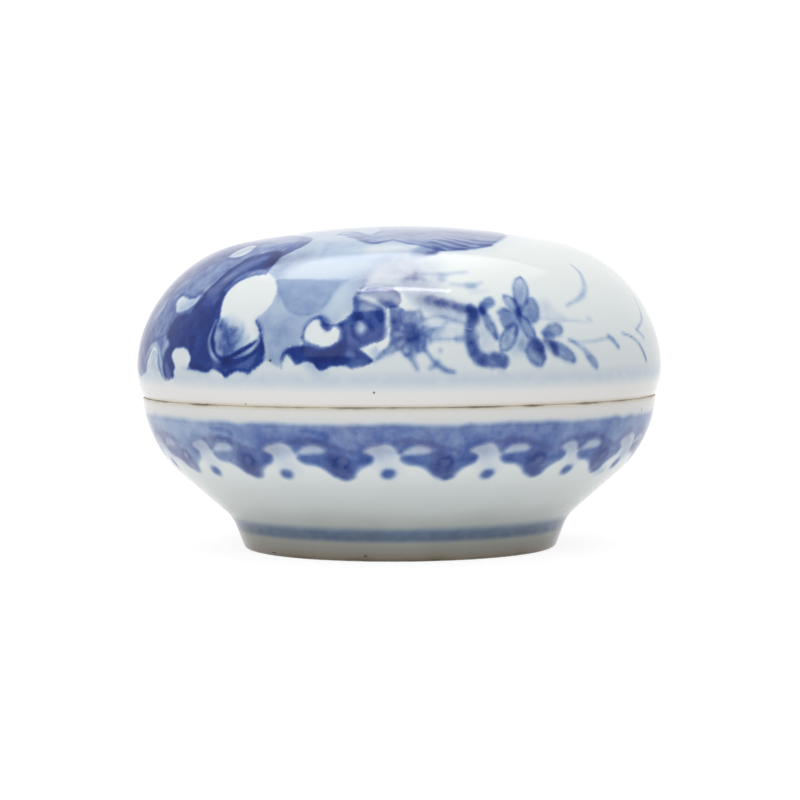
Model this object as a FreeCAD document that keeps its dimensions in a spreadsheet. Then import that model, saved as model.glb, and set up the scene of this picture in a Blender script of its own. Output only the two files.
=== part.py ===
# Round covered box for seal paste: a porcelain base on a foot ring, a domed lid that
# drops over the base's flange, and the mound of red paste that the box holds.
#
# Frame: millimetres, +Z up, origin at the centre of the foot ring on the table.
# Every piece is a turned form, so each is a section in the XZ plane turned about Z.
# The sections are tangent chains of arcs and lines, as a potter's template is drawn.

import FreeCAD, Part
import Sketcher
import math
import os

# ---------------------------------------------------------------- driving dimensions
# alias, value in mm or degrees, meaning
SIZES = [
    ("rim_radius", 41.6, "outer radius of the base's rim at the seam"),
    ("seam_height", 24.6, "height of the joint between base and lid"),
    ("rim_round", 0.35, "rounding of both rims' outer edges, which makes the seam's groove"),
    # base, outside
    ("bowl_radius", 18.0, "radius of the bowl's outer side, in section"),
    ("bowl_rise", 1.1, "height of that curve's centre above the seam"),
    ("foot_radius", 25.4, "outer radius of the foot at the table, before rounding"),
    ("foot_height", 5.1, "height at which the foot's wall and the bowl's underside would meet"),
    ("foot_lean", 21.0, "lean of the foot's outer wall, from upright"),
    ("waist_radius", 7.3, "radius of the hollow curve where bowl meets foot"),
    ("foot_ring", 3.6, "width of the foot ring at the table"),
    ("foot_recess", 3.6, "depth of the recess inside the foot ring"),
    ("recess_draft", 9.0, "lean of the recess's wall, from upright"),
    ("foot_round", 0.8, "rounding of the foot ring's two edges"),
    ("recess_round", 1.2, "fillet between the recess's wall and ceiling"),
    # base, inside
    ("base_wall", 3.5, "wall of the bowl"),
    ("floor_thickness", 3.8, "floor between the well and the foot's recess"),
    ("floor_bend", 12.0, "radius where the well's floor turns up into its slope"),
    ("side_bend", 11.0, "radius where the well's slope turns up into the flange"),
    # the flange that centres the lid
    ("shoulder_width", 3.6, "width of the bare shoulder from the rim in to the flange"),
    ("flange_wall", 2.4, "wall of the flange"),
    ("flange_height", 4.0, "height of the flange above the seam"),
    ("flange_round", 0.9, "rounding of the flange's top edges"),
    ("root_round", 0.3, "fillet between the flange and the shoulder that carries the lid"),
    # lid
    ("lid_clearance", 0.4, "gap all round between the flange and the lid's socket"),
    ("lead_in", 0.6, "chamfer inside the lid's rim"),
    ("lid_bulge", 0.9, "how far the lid's belly stands out past the base's rim"),
    ("belly_rise", 4.8, "height of the belly above the seam"),
    ("rim_setback", 0.3, "how far the lid's rim lies inside the base's rim"),
    ("side_radius", 17.3, "radius of the lid's side just above the belly, in section"),
    ("side_rise", 5.7, "height of that curve above the belly"),
    ("crown_rise", 27.4, "height of the crown above the seam"),
    ("crown_radius", 128.0, "radius of the crown's low dome"),
    ("lid_roof", 3.8, "thickness of the lid at the crown"),
    # seal paste
    ("paste_foot", 17.0, "radius on which the mound of paste stands"),
    ("paste_edge", 5.5, "radius of the mound's round side, in section"),
    ("paste_dome", 2.0, "how far the mound's crown rises above that side"),
]

doc = FreeCAD.newDocument("seal_paste_box")


def make_sheet():
    """The spreadsheet of driving dimensions, one row each: alias, value, meaning."""
    sheet = doc.addObject("Spreadsheet::Sheet", "sizes")
    for row, (alias, value, meaning) in enumerate(SIZES, start=1):
        sheet.set(f"A{row}", alias)
        sheet.set(f"B{row}", str(value))
        sheet.set(f"C{row}", meaning)
        sheet.setAlias(f"B{row}", alias)
    doc.recompute()
    return sheet


sheet = make_sheet()


def size(alias):
    """A driving dimension as a plain number."""
    return float(sheet.get(alias))


def vec(x, z):
    return FreeCAD.Vector(x, z, 0)


def polar(centre, radius, degrees):
    """The point at that radius and angle from a centre (x, z)."""
    angle = math.radians(degrees)
    return centre[0] + radius * math.cos(angle), centre[1] + radius * math.sin(angle)


def crossing(point_a, degrees_a, point_b, degrees_b):
    """Where two lines cross, each given by a point and a direction."""
    ax, az = math.cos(math.radians(degrees_a)), math.sin(math.radians(degrees_a))
    bx, bz = math.cos(math.radians(degrees_b)), math.sin(math.radians(degrees_b))
    dx, dz = point_b[0] - point_a[0], point_b[1] - point_a[1]
    along = (dx * bz - dz * bx) / (ax * bz - az * bx)
    return point_a[0] + along * ax, point_a[1] + along * az


START, END, CENTRE = range(1, 4)  # the sketcher numbers the points of a line or an arc so
LEVEL_AXIS, TURNING_AXIS = (-number for number in range(1, 3))  # and the sketch's own axes so
ORIGIN = (LEVEL_AXIS, START)


class Section:
    """A fully constrained sketch in a body's XZ plane. Its shape is first drawn near
    its place, and its constraints then hold it there, bound to the sheet."""

    def __init__(self, body, name):
        self.body = body
        self.sketch = body.newObject("Sketcher::SketchObject", name)
        plane = next(o for o in body.Origin.OriginFeatures if o.Role == "XZ_Plane")
        self.sketch.AttachmentSupport = [(plane, "")]
        self.sketch.MapMode = "FlatFace"

    def line(self, start, end):
        return self.sketch.addGeometry(Part.LineSegment(vec(*start), vec(*end)), False)

    def arc(self, centre, radius, first, last):
        """An arc that runs anticlockwise between two angles in degrees."""
        circle = Part.Circle(vec(*centre), FreeCAD.Vector(0, 0, 1), radius)
        bow = Part.ArcOfCircle(circle, math.radians(first), math.radians(last))
        return self.sketch.addGeometry(bow, False)

    def point(self, place):
        """A construction point, which other geometry is measured from."""
        return self.sketch.addGeometry(Part.Point(vec(*place)), True)

    def hold(self, kind, *where):
        return self.sketch.addConstraint(Sketcher.Constraint(kind, *where))

    def join(self, *pairs):
        """Each pair is (geometry, point, geometry, point), which become one point."""
        for pair in pairs:
            self.hold("Coincident", *pair)

    def smooth(self, *pairs):
        """As join, and the two also run on tangent to each other."""
        for pair in pairs:
            self.hold("Tangent", *pair)

    def bind(self, kind, where, formula, now):
        """A dimension bound to the sheet. now is its value as drawn."""
        number = self.hold(kind, *where, now)
        name = f"{kind}_{number}".lower()
        self.sketch.renameConstraint(number, name)
        self.sketch.setExpression(f"Constraints.{name}", formula)

    def radius(self, arc, formula, now):
        self.bind("Radius", (arc,), formula, now)

    def reach(self, item, point, formula, now):
        """Distance of a point from the turning axis."""
        self.bind("DistanceX", (*ORIGIN, item, point), formula, now)

    def height(self, item, point, formula, now):
        """Height of a point above the table."""
        self.bind("DistanceY", (*ORIGIN, item, point), formula, now)

    def angle(self, line, formula, now):
        self.bind("Angle", (line,), formula, math.radians(now))

    def turn(self, kind, name):
        """Revolution adds the turned section to the body, and Groove cuts it."""
        doc.recompute()
        if not self.sketch.FullyConstrained:
            raise RuntimeError(f"{self.sketch.Name} isn't fully constrained")
        feature = self.body.newObject(f"PartDesign::{kind}", name)
        feature.Profile = self.sketch
        feature.ReferenceAxis = (self.sketch, ["V_Axis"])
        feature.Angle = 360
        doc.recompute()
        return feature


SAME_HEIGHT = 1e-4  # heights no further apart than this are one


def is_ring(edge, height):
    """Whether an edge is a circle at that height. A dome's pole is an edge of no
    length, which has no curve."""
    if edge.Degenerated or not isinstance(edge.Curve, Part.Circle):
        return False
    return abs(edge.Curve.Center.z - height) < SAME_HEIGHT


def ring_edges(feature, height):
    """The feature's round edges at a height, as (radius, edge name), innermost first."""
    edges = enumerate(feature.Shape.Edges, start=1)
    found = [(e.Curve.Radius, f"Edge{number}") for number, e in edges if is_ring(e, height)]
    if not found:
        raise RuntimeError(f"{feature.Name} has no round edge at height {height}")
    return sorted(found)


def soften(body, kind, name, edges, formula):
    """A Fillet or Chamfer on named edges of the body's last feature."""
    last = body.Tip
    feature = body.newObject(f"PartDesign::{kind}", name)
    feature.Base = (last, edges)
    feature.setExpression("Radius" if kind == "Fillet" else "Size", formula)
    doc.recompute()
    return feature


def new_body(label):
    body = doc.addObject("PartDesign::Body", label)
    body.Label = label
    return body


# ------------------------------------------------------------------------------- base
FLANGE = "sizes.rim_radius - sizes.shoulder_width"
FLANGE_TOP = "sizes.seam_height + sizes.flange_height"
WELL_FLOOR = "sizes.foot_recess + sizes.floor_thickness"
BOWL_CENTRE_REACH = "sizes.rim_radius - sqrt(sizes.bowl_radius ^ 2 - sizes.bowl_rise ^ 2)"
BOWL_CENTRE_HEIGHT = "sizes.seam_height + sizes.bowl_rise"
FOOT_CORNER_REACH = "sizes.foot_radius + sizes.foot_height * tan(sizes.foot_lean * 1 deg)"


def bowl_centre():
    """The centre of the bowl's side in section, as (reach, height)."""
    spread = math.sqrt(size("bowl_radius") ** 2 - size("bowl_rise") ** 2)
    return size("rim_radius") - spread, size("seam_height") + size("bowl_rise")


def foot_corner():
    """Where the foot's wall and the bowl's underside would meet if no curve joined them."""
    lean = math.tan(math.radians(size("foot_lean")))
    return size("foot_radius") + size("foot_height") * lean, size("foot_height")


def underside_slope():
    """Slope in degrees of the straight underside, which runs from the foot's corner
    tangent to the bowl's side."""
    corner, centre = foot_corner(), bowl_centre()
    across, up = centre[0] - corner[0], centre[1] - corner[1]
    opening = math.asin(size("bowl_radius") / math.hypot(across, up))
    return math.degrees(math.atan2(up, across) - opening)


def base_outside(body):
    """Foot, waist, bowl, shoulder and flange as one solid turned form."""
    seam, top = size("seam_height"), size("seam_height") + size("flange_height")
    rim, flange = size("rim_radius"), size("rim_radius") - size("shoulder_width")
    foot, lean, waist = size("foot_radius"), size("foot_lean"), size("waist_radius")
    centre, bowl, slope, corner = bowl_centre(), size("bowl_radius"), underside_slope(), foot_corner()

    setback = waist * math.tan(math.radians(90 - lean - slope) / 2)
    slope_foot, slope_top = polar(corner, setback, slope), polar(centre, bowl, slope - 90)
    wall_top = polar(corner, -setback, 90 - lean)
    rim_angle = -math.degrees(math.asin(size("bowl_rise") / bowl))

    s = Section(body, "base_outline")
    sole = s.line((0, 0), (foot, 0))
    wall = s.line((foot, 0), wall_top)
    hollow = s.arc(polar(slope_foot, waist, slope - 90), waist, 90 + slope, 180 - lean)
    under = s.line(slope_foot, slope_top)
    side = s.arc(centre, bowl, slope - 90, rim_angle)
    shoulder = s.line((rim, seam), (flange, seam))
    flange_side = s.line((flange, seam), (flange, top))
    lip = s.line((flange, top), (0, top))
    axis = s.line((0, top), (0, 0))
    meeting = s.point(corner)

    s.join((sole, START, *ORIGIN), (sole, END, wall, START), (side, END, shoulder, START))
    s.join((shoulder, END, flange_side, START), (flange_side, END, lip, START))
    s.join((lip, END, axis, START), (axis, END, sole, START))
    s.smooth((wall, END, hollow, END), (hollow, START, under, START))
    s.smooth((under, END, side, START))
    s.hold("PointOnObject", meeting, START, wall)
    s.hold("PointOnObject", meeting, START, under)
    for level in (sole, shoulder, lip):
        s.hold("Horizontal", level)
    for upright in (flange_side, axis):
        s.hold("Vertical", upright)
    s.reach(sole, END, "sizes.foot_radius", foot)
    s.angle(wall, "90 - sizes.foot_lean", 90 - lean)
    s.height(meeting, START, "sizes.foot_height", corner[1])
    s.radius(hollow, "sizes.waist_radius", waist)
    s.radius(side, "sizes.bowl_radius", bowl)
    s.height(side, CENTRE, BOWL_CENTRE_HEIGHT, centre[1])
    s.reach(side, END, "sizes.rim_radius", rim)
    s.height(side, END, "sizes.seam_height", seam)
    s.reach(shoulder, END, FLANGE, flange)
    s.height(flange_side, END, FLANGE_TOP, top)
    return s.turn("Revolution", "base_turned")


def base_well(body):
    """The hollow that holds the paste: level floor, slope, side and flange bore. The
    slope runs along the outer one, one wall's thickness inside it."""
    top = size("seam_height") + size("flange_height")
    floor = size("foot_recess") + size("floor_thickness")
    bore = size("rim_radius") - size("shoulder_width") - size("flange_wall")
    floor_bend, side_bend = size("floor_bend"), size("side_bend")
    centre, slope, corner = bowl_centre(), underside_slope(), foot_corner()
    inset = size("bowl_radius") - size("base_wall")

    on_slope = polar(centre, inset, slope - 90)
    low_corner = crossing((0, floor), 0, on_slope, slope)
    high_corner = crossing((bore, floor), 90, on_slope, slope)
    low_setback = floor_bend * math.tan(math.radians(slope) / 2)
    high_setback = side_bend * math.tan(math.radians(90 - slope) / 2)
    floor_end = (low_corner[0] - low_setback, floor)
    wall_foot = (bore, high_corner[1] + high_setback)

    s = Section(body, "well_outline")
    ground = s.line((0, floor), floor_end)
    bend = s.arc((floor_end[0], floor + floor_bend), floor_bend, -90, slope - 90)
    rise = s.line(polar(low_corner, low_setback, slope), polar(high_corner, -high_setback, slope))
    side = s.arc((bore - side_bend, wall_foot[1]), side_bend, slope - 90, 0)
    wall = s.line(wall_foot, (bore, top))
    mouth = s.line((bore, top), (0, top))
    axis = s.line((0, top), (0, floor))
    middle, meeting = s.point(centre), s.point(corner)

    s.join((wall, END, mouth, START), (mouth, END, axis, START), (axis, END, ground, START))
    s.smooth((ground, END, bend, START), (bend, END, rise, START))
    s.smooth((rise, END, side, START), (side, END, wall, START))
    s.hold("PointOnObject", ground, START, TURNING_AXIS)
    for level in (ground, mouth):
        s.hold("Horizontal", level)
    for upright in (wall, axis):
        s.hold("Vertical", upright)
    s.height(ground, START, WELL_FLOOR, floor)
    s.radius(bend, "sizes.floor_bend", floor_bend)
    s.reach(middle, START, BOWL_CENTRE_REACH, centre[0])
    s.height(middle, START, BOWL_CENTRE_HEIGHT, centre[1])
    s.reach(meeting, START, FOOT_CORNER_REACH, corner[0])
    s.height(meeting, START, "sizes.foot_height", corner[1])
    s.bind("Distance", (middle, START, rise), "sizes.bowl_radius - sizes.base_wall", inset)
    s.bind("Distance", (meeting, START, rise), "sizes.base_wall", size("base_wall"))
    s.radius(side, "sizes.side_bend", side_bend)
    s.reach(wall, END, f"{FLANGE} - sizes.flange_wall", bore)
    s.height(wall, END, FLANGE_TOP, top)
    return s.turn("Groove", "well")


def base_foot_recess(body):
    """The recess that leaves the foot ring standing."""
    depth, inner = size("foot_recess"), size("foot_radius") - size("foot_ring")
    draft = size("recess_draft")
    ceiling_end = inner - depth * math.tan(math.radians(draft))

    s = Section(body, "recess_outline")
    mouth = s.line((0, 0), (inner, 0))
    wall = s.line((inner, 0), (ceiling_end, depth))
    ceiling = s.line((ceiling_end, depth), (0, depth))
    axis = s.line((0, depth), (0, 0))
    s.join((mouth, START, *ORIGIN), (mouth, END, wall, START), (wall, END, ceiling, START))
    s.join((ceiling, END, axis, START), (axis, END, mouth, START))
    s.hold("Horizontal", mouth)
    s.hold("Horizontal", ceiling)
    s.hold("Vertical", axis)
    s.reach(mouth, END, "sizes.foot_radius - sizes.foot_ring", inner)
    s.angle(wall, "90 + sizes.recess_draft", 90 + draft)
    s.height(ceiling, START, "sizes.foot_recess", depth)
    return s.turn("Groove", "foot_recess")


def make_base():
    body = new_body("base")
    base_outside(body)
    base_well(body)
    base_foot_recess(body)

    seam, top = size("seam_height"), size("seam_height") + size("flange_height")
    shoulder = ring_edges(body.Tip, seam)
    soften(body, "Fillet", "rim_edge", [shoulder[-1][1]], "sizes.rim_round")
    root = ring_edges(body.Tip, seam)
    soften(body, "Fillet", "flange_root", [root[0][1]], "sizes.root_round")
    lip = [name for _, name in ring_edges(body.Tip, top)]
    soften(body, "Fillet", "flange_edges", lip, "min(sizes.flange_round; 0.45 * sizes.flange_wall)")
    recess = ring_edges(body.Tip, size("foot_recess"))
    soften(body, "Fillet", "recess_edge", [recess[-1][1]], "sizes.recess_round")
    sole = [name for _, name in ring_edges(body.Tip, 0)]
    soften(body, "Fillet", "foot_edges", sole, "min(sizes.foot_round; 0.45 * sizes.foot_ring)")
    return body


# -------------------------------------------------------------------------------- lid
BELLY_HEIGHT = "sizes.seam_height + sizes.belly_rise"
CROWN_HEIGHT = "sizes.seam_height + sizes.crown_rise"


def tangent_radius(point, degrees, round_centre, round_radius):
    """The radius of the curve that leaves a point square to a direction and runs on
    tangent inside a larger circle, such as the crown's."""
    out = math.cos(math.radians(degrees)), math.sin(math.radians(degrees))
    away = point[0] - round_centre[0], point[1] - round_centre[1]
    along = away[0] * out[0] + away[1] * out[1]
    return (round_radius**2 - away[0] ** 2 - away[1] ** 2) / (2 * (round_radius - along))


def lid_outside(body):
    """Rim, belly, side, shoulder and crown, each curve running on from the last. The
    curve below the belly is whatever reaches the rim, and the shoulder whatever joins
    the side to the crown."""
    seam, rim = size("seam_height"), size("rim_radius") - size("rim_setback")
    belly_reach, belly_rise = size("rim_radius") + size("lid_bulge"), size("belly_rise")
    belly, crown = seam + belly_rise, seam + size("crown_rise")
    side_radius, crown_radius = size("side_radius"), size("crown_radius")

    tuck = belly_reach - rim
    tuck_radius = (tuck**2 + belly_rise**2) / (2 * tuck)
    rim_angle = -math.degrees(math.asin(belly_rise / tuck_radius))
    side_centre = (belly_reach - side_radius, belly)
    side_end = math.degrees(math.asin(size("side_rise") / side_radius))
    shoulder_start = polar(side_centre, side_radius, side_end)
    crown_centre = (0, crown - crown_radius)
    shoulder_radius = tangent_radius(shoulder_start, side_end, crown_centre, crown_radius)
    shoulder_centre = polar(shoulder_start, -shoulder_radius, side_end)
    rise = shoulder_centre[1] - crown_centre[1]
    crown_start = math.degrees(math.atan2(rise, shoulder_centre[0]))

    s = Section(body, "lid_outline")
    sole = s.line((0, seam), (rim, seam))
    tuck = s.arc((belly_reach - tuck_radius, belly), tuck_radius, rim_angle, 0)
    side = s.arc(side_centre, side_radius, 0, side_end)
    shoulder = s.arc(shoulder_centre, shoulder_radius, side_end, crown_start)
    cap = s.arc(crown_centre, crown_radius, crown_start, 90)
    axis = s.line((0, crown), (0, seam))

    s.join((sole, END, tuck, START), (cap, END, axis, START), (axis, END, sole, START))
    s.smooth((tuck, END, side, START), (side, END, shoulder, START))
    s.smooth((shoulder, END, cap, START))
    s.hold("PointOnObject", sole, START, TURNING_AXIS)
    s.hold("PointOnObject", cap, CENTRE, TURNING_AXIS)
    s.hold("Horizontal", sole)
    s.hold("Vertical", axis)
    s.hold("Horizontal", tuck, CENTRE, tuck, END)
    s.height(sole, START, "sizes.seam_height", seam)
    s.reach(sole, END, "sizes.rim_radius - sizes.rim_setback", rim)
    s.reach(tuck, END, "sizes.rim_radius + sizes.lid_bulge", belly_reach)
    s.height(tuck, END, BELLY_HEIGHT, belly)
    s.radius(side, "sizes.side_radius", side_radius)
    s.height(side, END, f"{BELLY_HEIGHT} + sizes.side_rise", shoulder_start[1])
    s.radius(cap, "sizes.crown_radius", crown_radius)
    s.height(cap, END, CROWN_HEIGHT, crown)
    return s.turn("Revolution", "lid_turned")


def lid_inside(body):
    """The socket that drops over the flange, and the hollow under the dome. The roof
    keeps the crown's centre, and the inner shoulder joins the socket to the roof."""
    seam, belly = size("seam_height"), size("seam_height") + size("belly_rise")
    socket = size("rim_radius") - size("shoulder_width") + size("lid_clearance")
    crown_centre = (0, seam + size("crown_rise") - size("crown_radius"))
    roof_radius = size("crown_radius") - size("lid_roof")
    roof = crown_centre[1] + roof_radius
    shoulder_radius = tangent_radius((socket, belly), 0, crown_centre, roof_radius)
    shoulder_centre = (socket - shoulder_radius, belly)
    roof_start = math.degrees(math.atan2(belly - crown_centre[1], shoulder_centre[0]))

    s = Section(body, "hollow_outline")
    mouth = s.line((0, seam), (socket, seam))
    wall = s.line((socket, seam), (socket, belly))
    shoulder = s.arc(shoulder_centre, shoulder_radius, 0, roof_start)
    vault = s.arc(crown_centre, roof_radius, roof_start, 90)
    axis = s.line((0, roof), (0, seam))

    s.join((mouth, END, wall, START), (vault, END, axis, START), (axis, END, mouth, START))
    s.smooth((wall, END, shoulder, START), (shoulder, END, vault, START))
    s.hold("PointOnObject", mouth, START, TURNING_AXIS)
    s.hold("PointOnObject", vault, CENTRE, TURNING_AXIS)
    s.hold("Horizontal", mouth)
    for upright in (wall, axis):
        s.hold("Vertical", upright)
    s.height(mouth, START, "sizes.seam_height", seam)
    s.reach(mouth, END, f"{FLANGE} + sizes.lid_clearance", socket)
    s.height(wall, END, BELLY_HEIGHT, belly)
    s.radius(vault, "sizes.crown_radius - sizes.lid_roof", roof_radius)
    s.height(vault, END, f"{CROWN_HEIGHT} - sizes.lid_roof", roof)
    return s.turn("Groove", "hollow")


def make_lid():
    body = new_body("lid")
    lid_outside(body)
    lid_inside(body)
    rim = ring_edges(body.Tip, size("seam_height"))
    soften(body, "Fillet", "lid_rim_edge", [rim[-1][1]], "sizes.rim_round")
    rim = ring_edges(body.Tip, size("seam_height"))
    soften(body, "Chamfer", "lid_lead_in", [rim[0][1]], "sizes.lead_in")
    return body


# -------------------------------------------------------------------------- seal paste
PASTE_TOP = f"{WELL_FLOOR} + 2 * sizes.paste_edge + sizes.paste_dome"


def make_paste():
    """The mound of paste: it stands on the well's level floor, clear of its side, with
    a round side and a low crown that is tangent to it."""
    floor = size("foot_recess") + size("floor_thickness")
    foot, edge, dome = size("paste_foot"), size("paste_edge"), size("paste_dome")
    top = floor + 2 * edge + dome
    crown_radius = (foot**2 + (edge + dome) ** 2 - edge**2) / (2 * dome)
    crown_centre = (0, top - crown_radius)
    meet = math.degrees(math.atan2(floor + edge - crown_centre[1], foot))

    body = new_body("seal_paste")
    s = Section(body, "paste_outline")
    sole = s.line((0, floor), (foot, floor))
    side = s.arc((foot, floor + edge), edge, -90, meet)
    cap = s.arc(crown_centre, crown_radius, meet, 90)
    axis = s.line((0, top), (0, floor))
    s.join((cap, END, axis, START), (axis, END, sole, START))
    s.smooth((sole, END, side, START), (side, END, cap, START))
    s.hold("PointOnObject", sole, START, TURNING_AXIS)
    s.hold("PointOnObject", cap, CENTRE, TURNING_AXIS)
    s.hold("Horizontal", sole)
    s.hold("Vertical", axis)
    s.height(sole, START, WELL_FLOOR, floor)
    s.reach(sole, END, "sizes.paste_foot", foot)
    s.radius(side, "sizes.paste_edge", edge)
    s.height(cap, END, PASTE_TOP, top)
    s.turn("Revolution", "paste_turned")
    return body


# ------------------------------------------------------------------------------ output
def check(bodies):
    """Stops the build if any feature failed or any piece isn't one valid solid."""
    for item in doc.Objects:
        if "Invalid" in item.State or "Error" in item.State:
            raise RuntimeError(f"{item.Name} failed: {item.State}")
    for body in bodies:
        shape = body.Shape
        if shape.isNull() or not shape.isValid() or len(shape.Solids) != 1:
            raise RuntimeError(f"{body.Label} isn't one valid solid")


def main():
    bodies = [make_base(), make_lid(), make_paste()]
    doc.recompute()
    check(bodies)
    os.makedirs("parts", exist_ok=True)
    for body in bodies:
        body.Shape.exportStep(f"parts/{body.Label}.step")
        box = body.Shape.optimalBoundingBox()
        print(
            f"{body.Label}: {box.XLength:.2f} x {box.YLength:.2f} x {box.ZLength:.2f} mm, "
            f"z {box.ZMin:.2f} to {box.ZMax:.2f}, {body.Shape.Volume / 1000:.2f} cm3"
        )


main()
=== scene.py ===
# %% [markdown]
# # A round covered box for red seal paste
#
# The real box is thrown porcelain in two parts: a shallow base on a foot ring, and a
# domed lid that drops over a flange. A potter turns both, a painter lays the ornament
# in cobalt on the dry clay, and a clear glaze covers everything but the rims that
# touch in the kiln. A cake of red paste fills the well.
#
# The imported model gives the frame. Its three solids keep their places here, and each
# is dressed with a finer mesh that stands for it.

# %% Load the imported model
import math

import bpy
import numpy as np
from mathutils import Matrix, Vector


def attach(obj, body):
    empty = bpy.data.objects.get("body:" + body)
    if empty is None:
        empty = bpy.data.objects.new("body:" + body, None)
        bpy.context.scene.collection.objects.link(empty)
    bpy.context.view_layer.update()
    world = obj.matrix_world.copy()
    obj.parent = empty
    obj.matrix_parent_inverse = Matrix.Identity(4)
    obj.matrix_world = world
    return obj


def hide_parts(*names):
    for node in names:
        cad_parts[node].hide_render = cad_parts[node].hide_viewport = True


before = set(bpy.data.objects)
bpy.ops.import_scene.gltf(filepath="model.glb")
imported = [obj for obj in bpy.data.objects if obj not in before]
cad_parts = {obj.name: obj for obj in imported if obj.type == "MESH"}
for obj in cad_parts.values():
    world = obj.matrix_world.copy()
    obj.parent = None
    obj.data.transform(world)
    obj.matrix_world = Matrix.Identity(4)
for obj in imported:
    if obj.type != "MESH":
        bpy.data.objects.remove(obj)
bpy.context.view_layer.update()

MM = 0.001

# %% [markdown]
# ## The camera
#
# A small object is pictured with a long lens from well back, so that its circles stay
# flat ellipses. The camera stands a little lower than the top of the lid and looks
# slightly down, and it leans by a third of a degree.

# %% Camera
EYE = Vector((0.0001, -0.4372, 0.04585))
AIM = Vector((0.0001, 0.0, 0.0237))
LEAN = math.radians(-0.305)
VIEW_SIDE = 800


def make_camera():
    data = bpy.data.cameras.new("view")
    data.lens, data.sensor_width = 120.9, 36.0
    camera = bpy.data.objects.new("view", data)
    camera.location = EYE
    camera.rotation_euler = (AIM - EYE).to_track_quat("-Z", "Y").to_euler()
    camera.rotation_euler.rotate_axis("Z", LEAN)
    bpy.context.scene.collection.objects.link(camera)
    bpy.context.scene.camera = camera
    bpy.context.view_layer.update()
    return camera


camera = make_camera()
print("camera at", [round(x, 4) for x in camera.location], "lens", camera.data.lens)

# %% [markdown]
# ## Writing node trees as sums
#
# A shader is a sum that is worked out for each spot of the surface. `Wire` wraps one
# output socket, so that `1 - mask * 0.5` adds the Math nodes by itself. Every other
# node comes from the method `node`: its type, its settings, and what goes in.

# %% The wire class
class Wire:
    """One output socket, which can be added, scaled and passed into further nodes."""

    def __init__(self, tree, socket=None):
        self.tree, self.socket = tree, socket

    def node(self, kind, settings=(), inputs=(), output=0):
        made = self.tree.nodes.new(kind)
        for name, value in dict(settings).items():
            if name == "stops":
                set_stops(made.color_ramp, value)
            else:
                setattr(made, name, value)
        for name, value in dict(inputs).items():
            if isinstance(value, Wire):
                self.tree.links.new(value.socket, made.inputs[name])
            else:
                made.inputs[name].default_value = value
        return Wire(self.tree, made.outputs[output] if made.outputs else None)

    def math(self, operation, first, second):
        return self.node("ShaderNodeMath", {"operation": operation}, {0: first, 1: second})

    def __add__(self, other):
        return self.math("ADD", self, other)

    def __sub__(self, other):
        return self.math("SUBTRACT", self, other)

    def __mul__(self, other):
        return self.math("MULTIPLY", self, other)

    def __truediv__(self, other):
        return self.math("DIVIDE", self, other)

    def __rsub__(self, other):
        return self.math("SUBTRACT", other, self)

    def __abs__(self):
        return self.node("ShaderNodeMath", {"operation": "ABSOLUTE"}, {0: self})

    __radd__, __rmul__ = __add__, __mul__

    def over(self, start, end):
        """0 below start, 1 above end, and an easy slope between them."""
        return self.node("ShaderNodeMapRange", {"interpolation_type": "SMOOTHSTEP"},
                         {"Value": self, "From Min": start, "From Max": end})


def set_stops(ramp, stops):
    while len(ramp.elements) < len(stops):
        ramp.elements.new(1.0)
    for element, (place, colour) in zip(ramp.elements, stops):
        element.position, element.color = place, (*colour, 1.0)


def mixed(share, first, second, blend="MIX"):
    """Two colours mixed by a share. A colour is a wire or plain red, green and blue, and
    the share is a wire or a number."""
    colours = [c if isinstance(c, Wire) else (*c, 1.0) for c in (first, second)]
    wire = next(w for w in (share, *colours) if isinstance(w, Wire))
    return wire.node("ShaderNodeMix", {"data_type": "RGBA", "blend_type": blend},
                     {0: share, 6: colours[0], 7: colours[1]}, output=2)


def emptied(holder):
    """The holder's own node tree, with nothing in it."""
    holder.use_nodes = True
    holder.node_tree.nodes.clear()
    return Wire(holder.node_tree)


print("wire helpers ready")

# %% [markdown]
# ## Room and light
#
# Glazed porcelain shows its surroundings, so the room is part of the finish. The table
# and the wall are one pale sheet. Whatever looks at the sheet straight on or in a
# reflection sees plain white, and the light that it sends to the porcelain is weaker.
# One long panel hangs above and behind the box: its reflection is the bright band along
# the shoulder of the lid.

# %% Room and light
ROOM_LEVEL = 0.62
SHADOW_SHARE = 0.24


def looking(wire):
    """1 for a camera, mirror or glass ray, and 0 for light that spreads."""
    path = wire.tree.nodes.new("ShaderNodeLightPath")
    rays = [Wire(wire.tree, path.outputs[name])
            for name in ("Is Camera Ray", "Is Glossy Ray", "Is Transmission Ray")]
    return rays[0].math("MINIMUM", rays[0] + rays[1] + rays[2], 1.0)


def light_room():
    world = bpy.data.worlds.new("room")
    bpy.context.scene.world = world
    room = emptied(world)
    level = looking(room) * (1.0 - ROOM_LEVEL) + ROOM_LEVEL
    back = room.node("ShaderNodeBackground", (), {"Color": (1, 1, 1, 1), "Strength": level})
    room.node("ShaderNodeOutputWorld", (), {"Surface": back})


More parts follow.
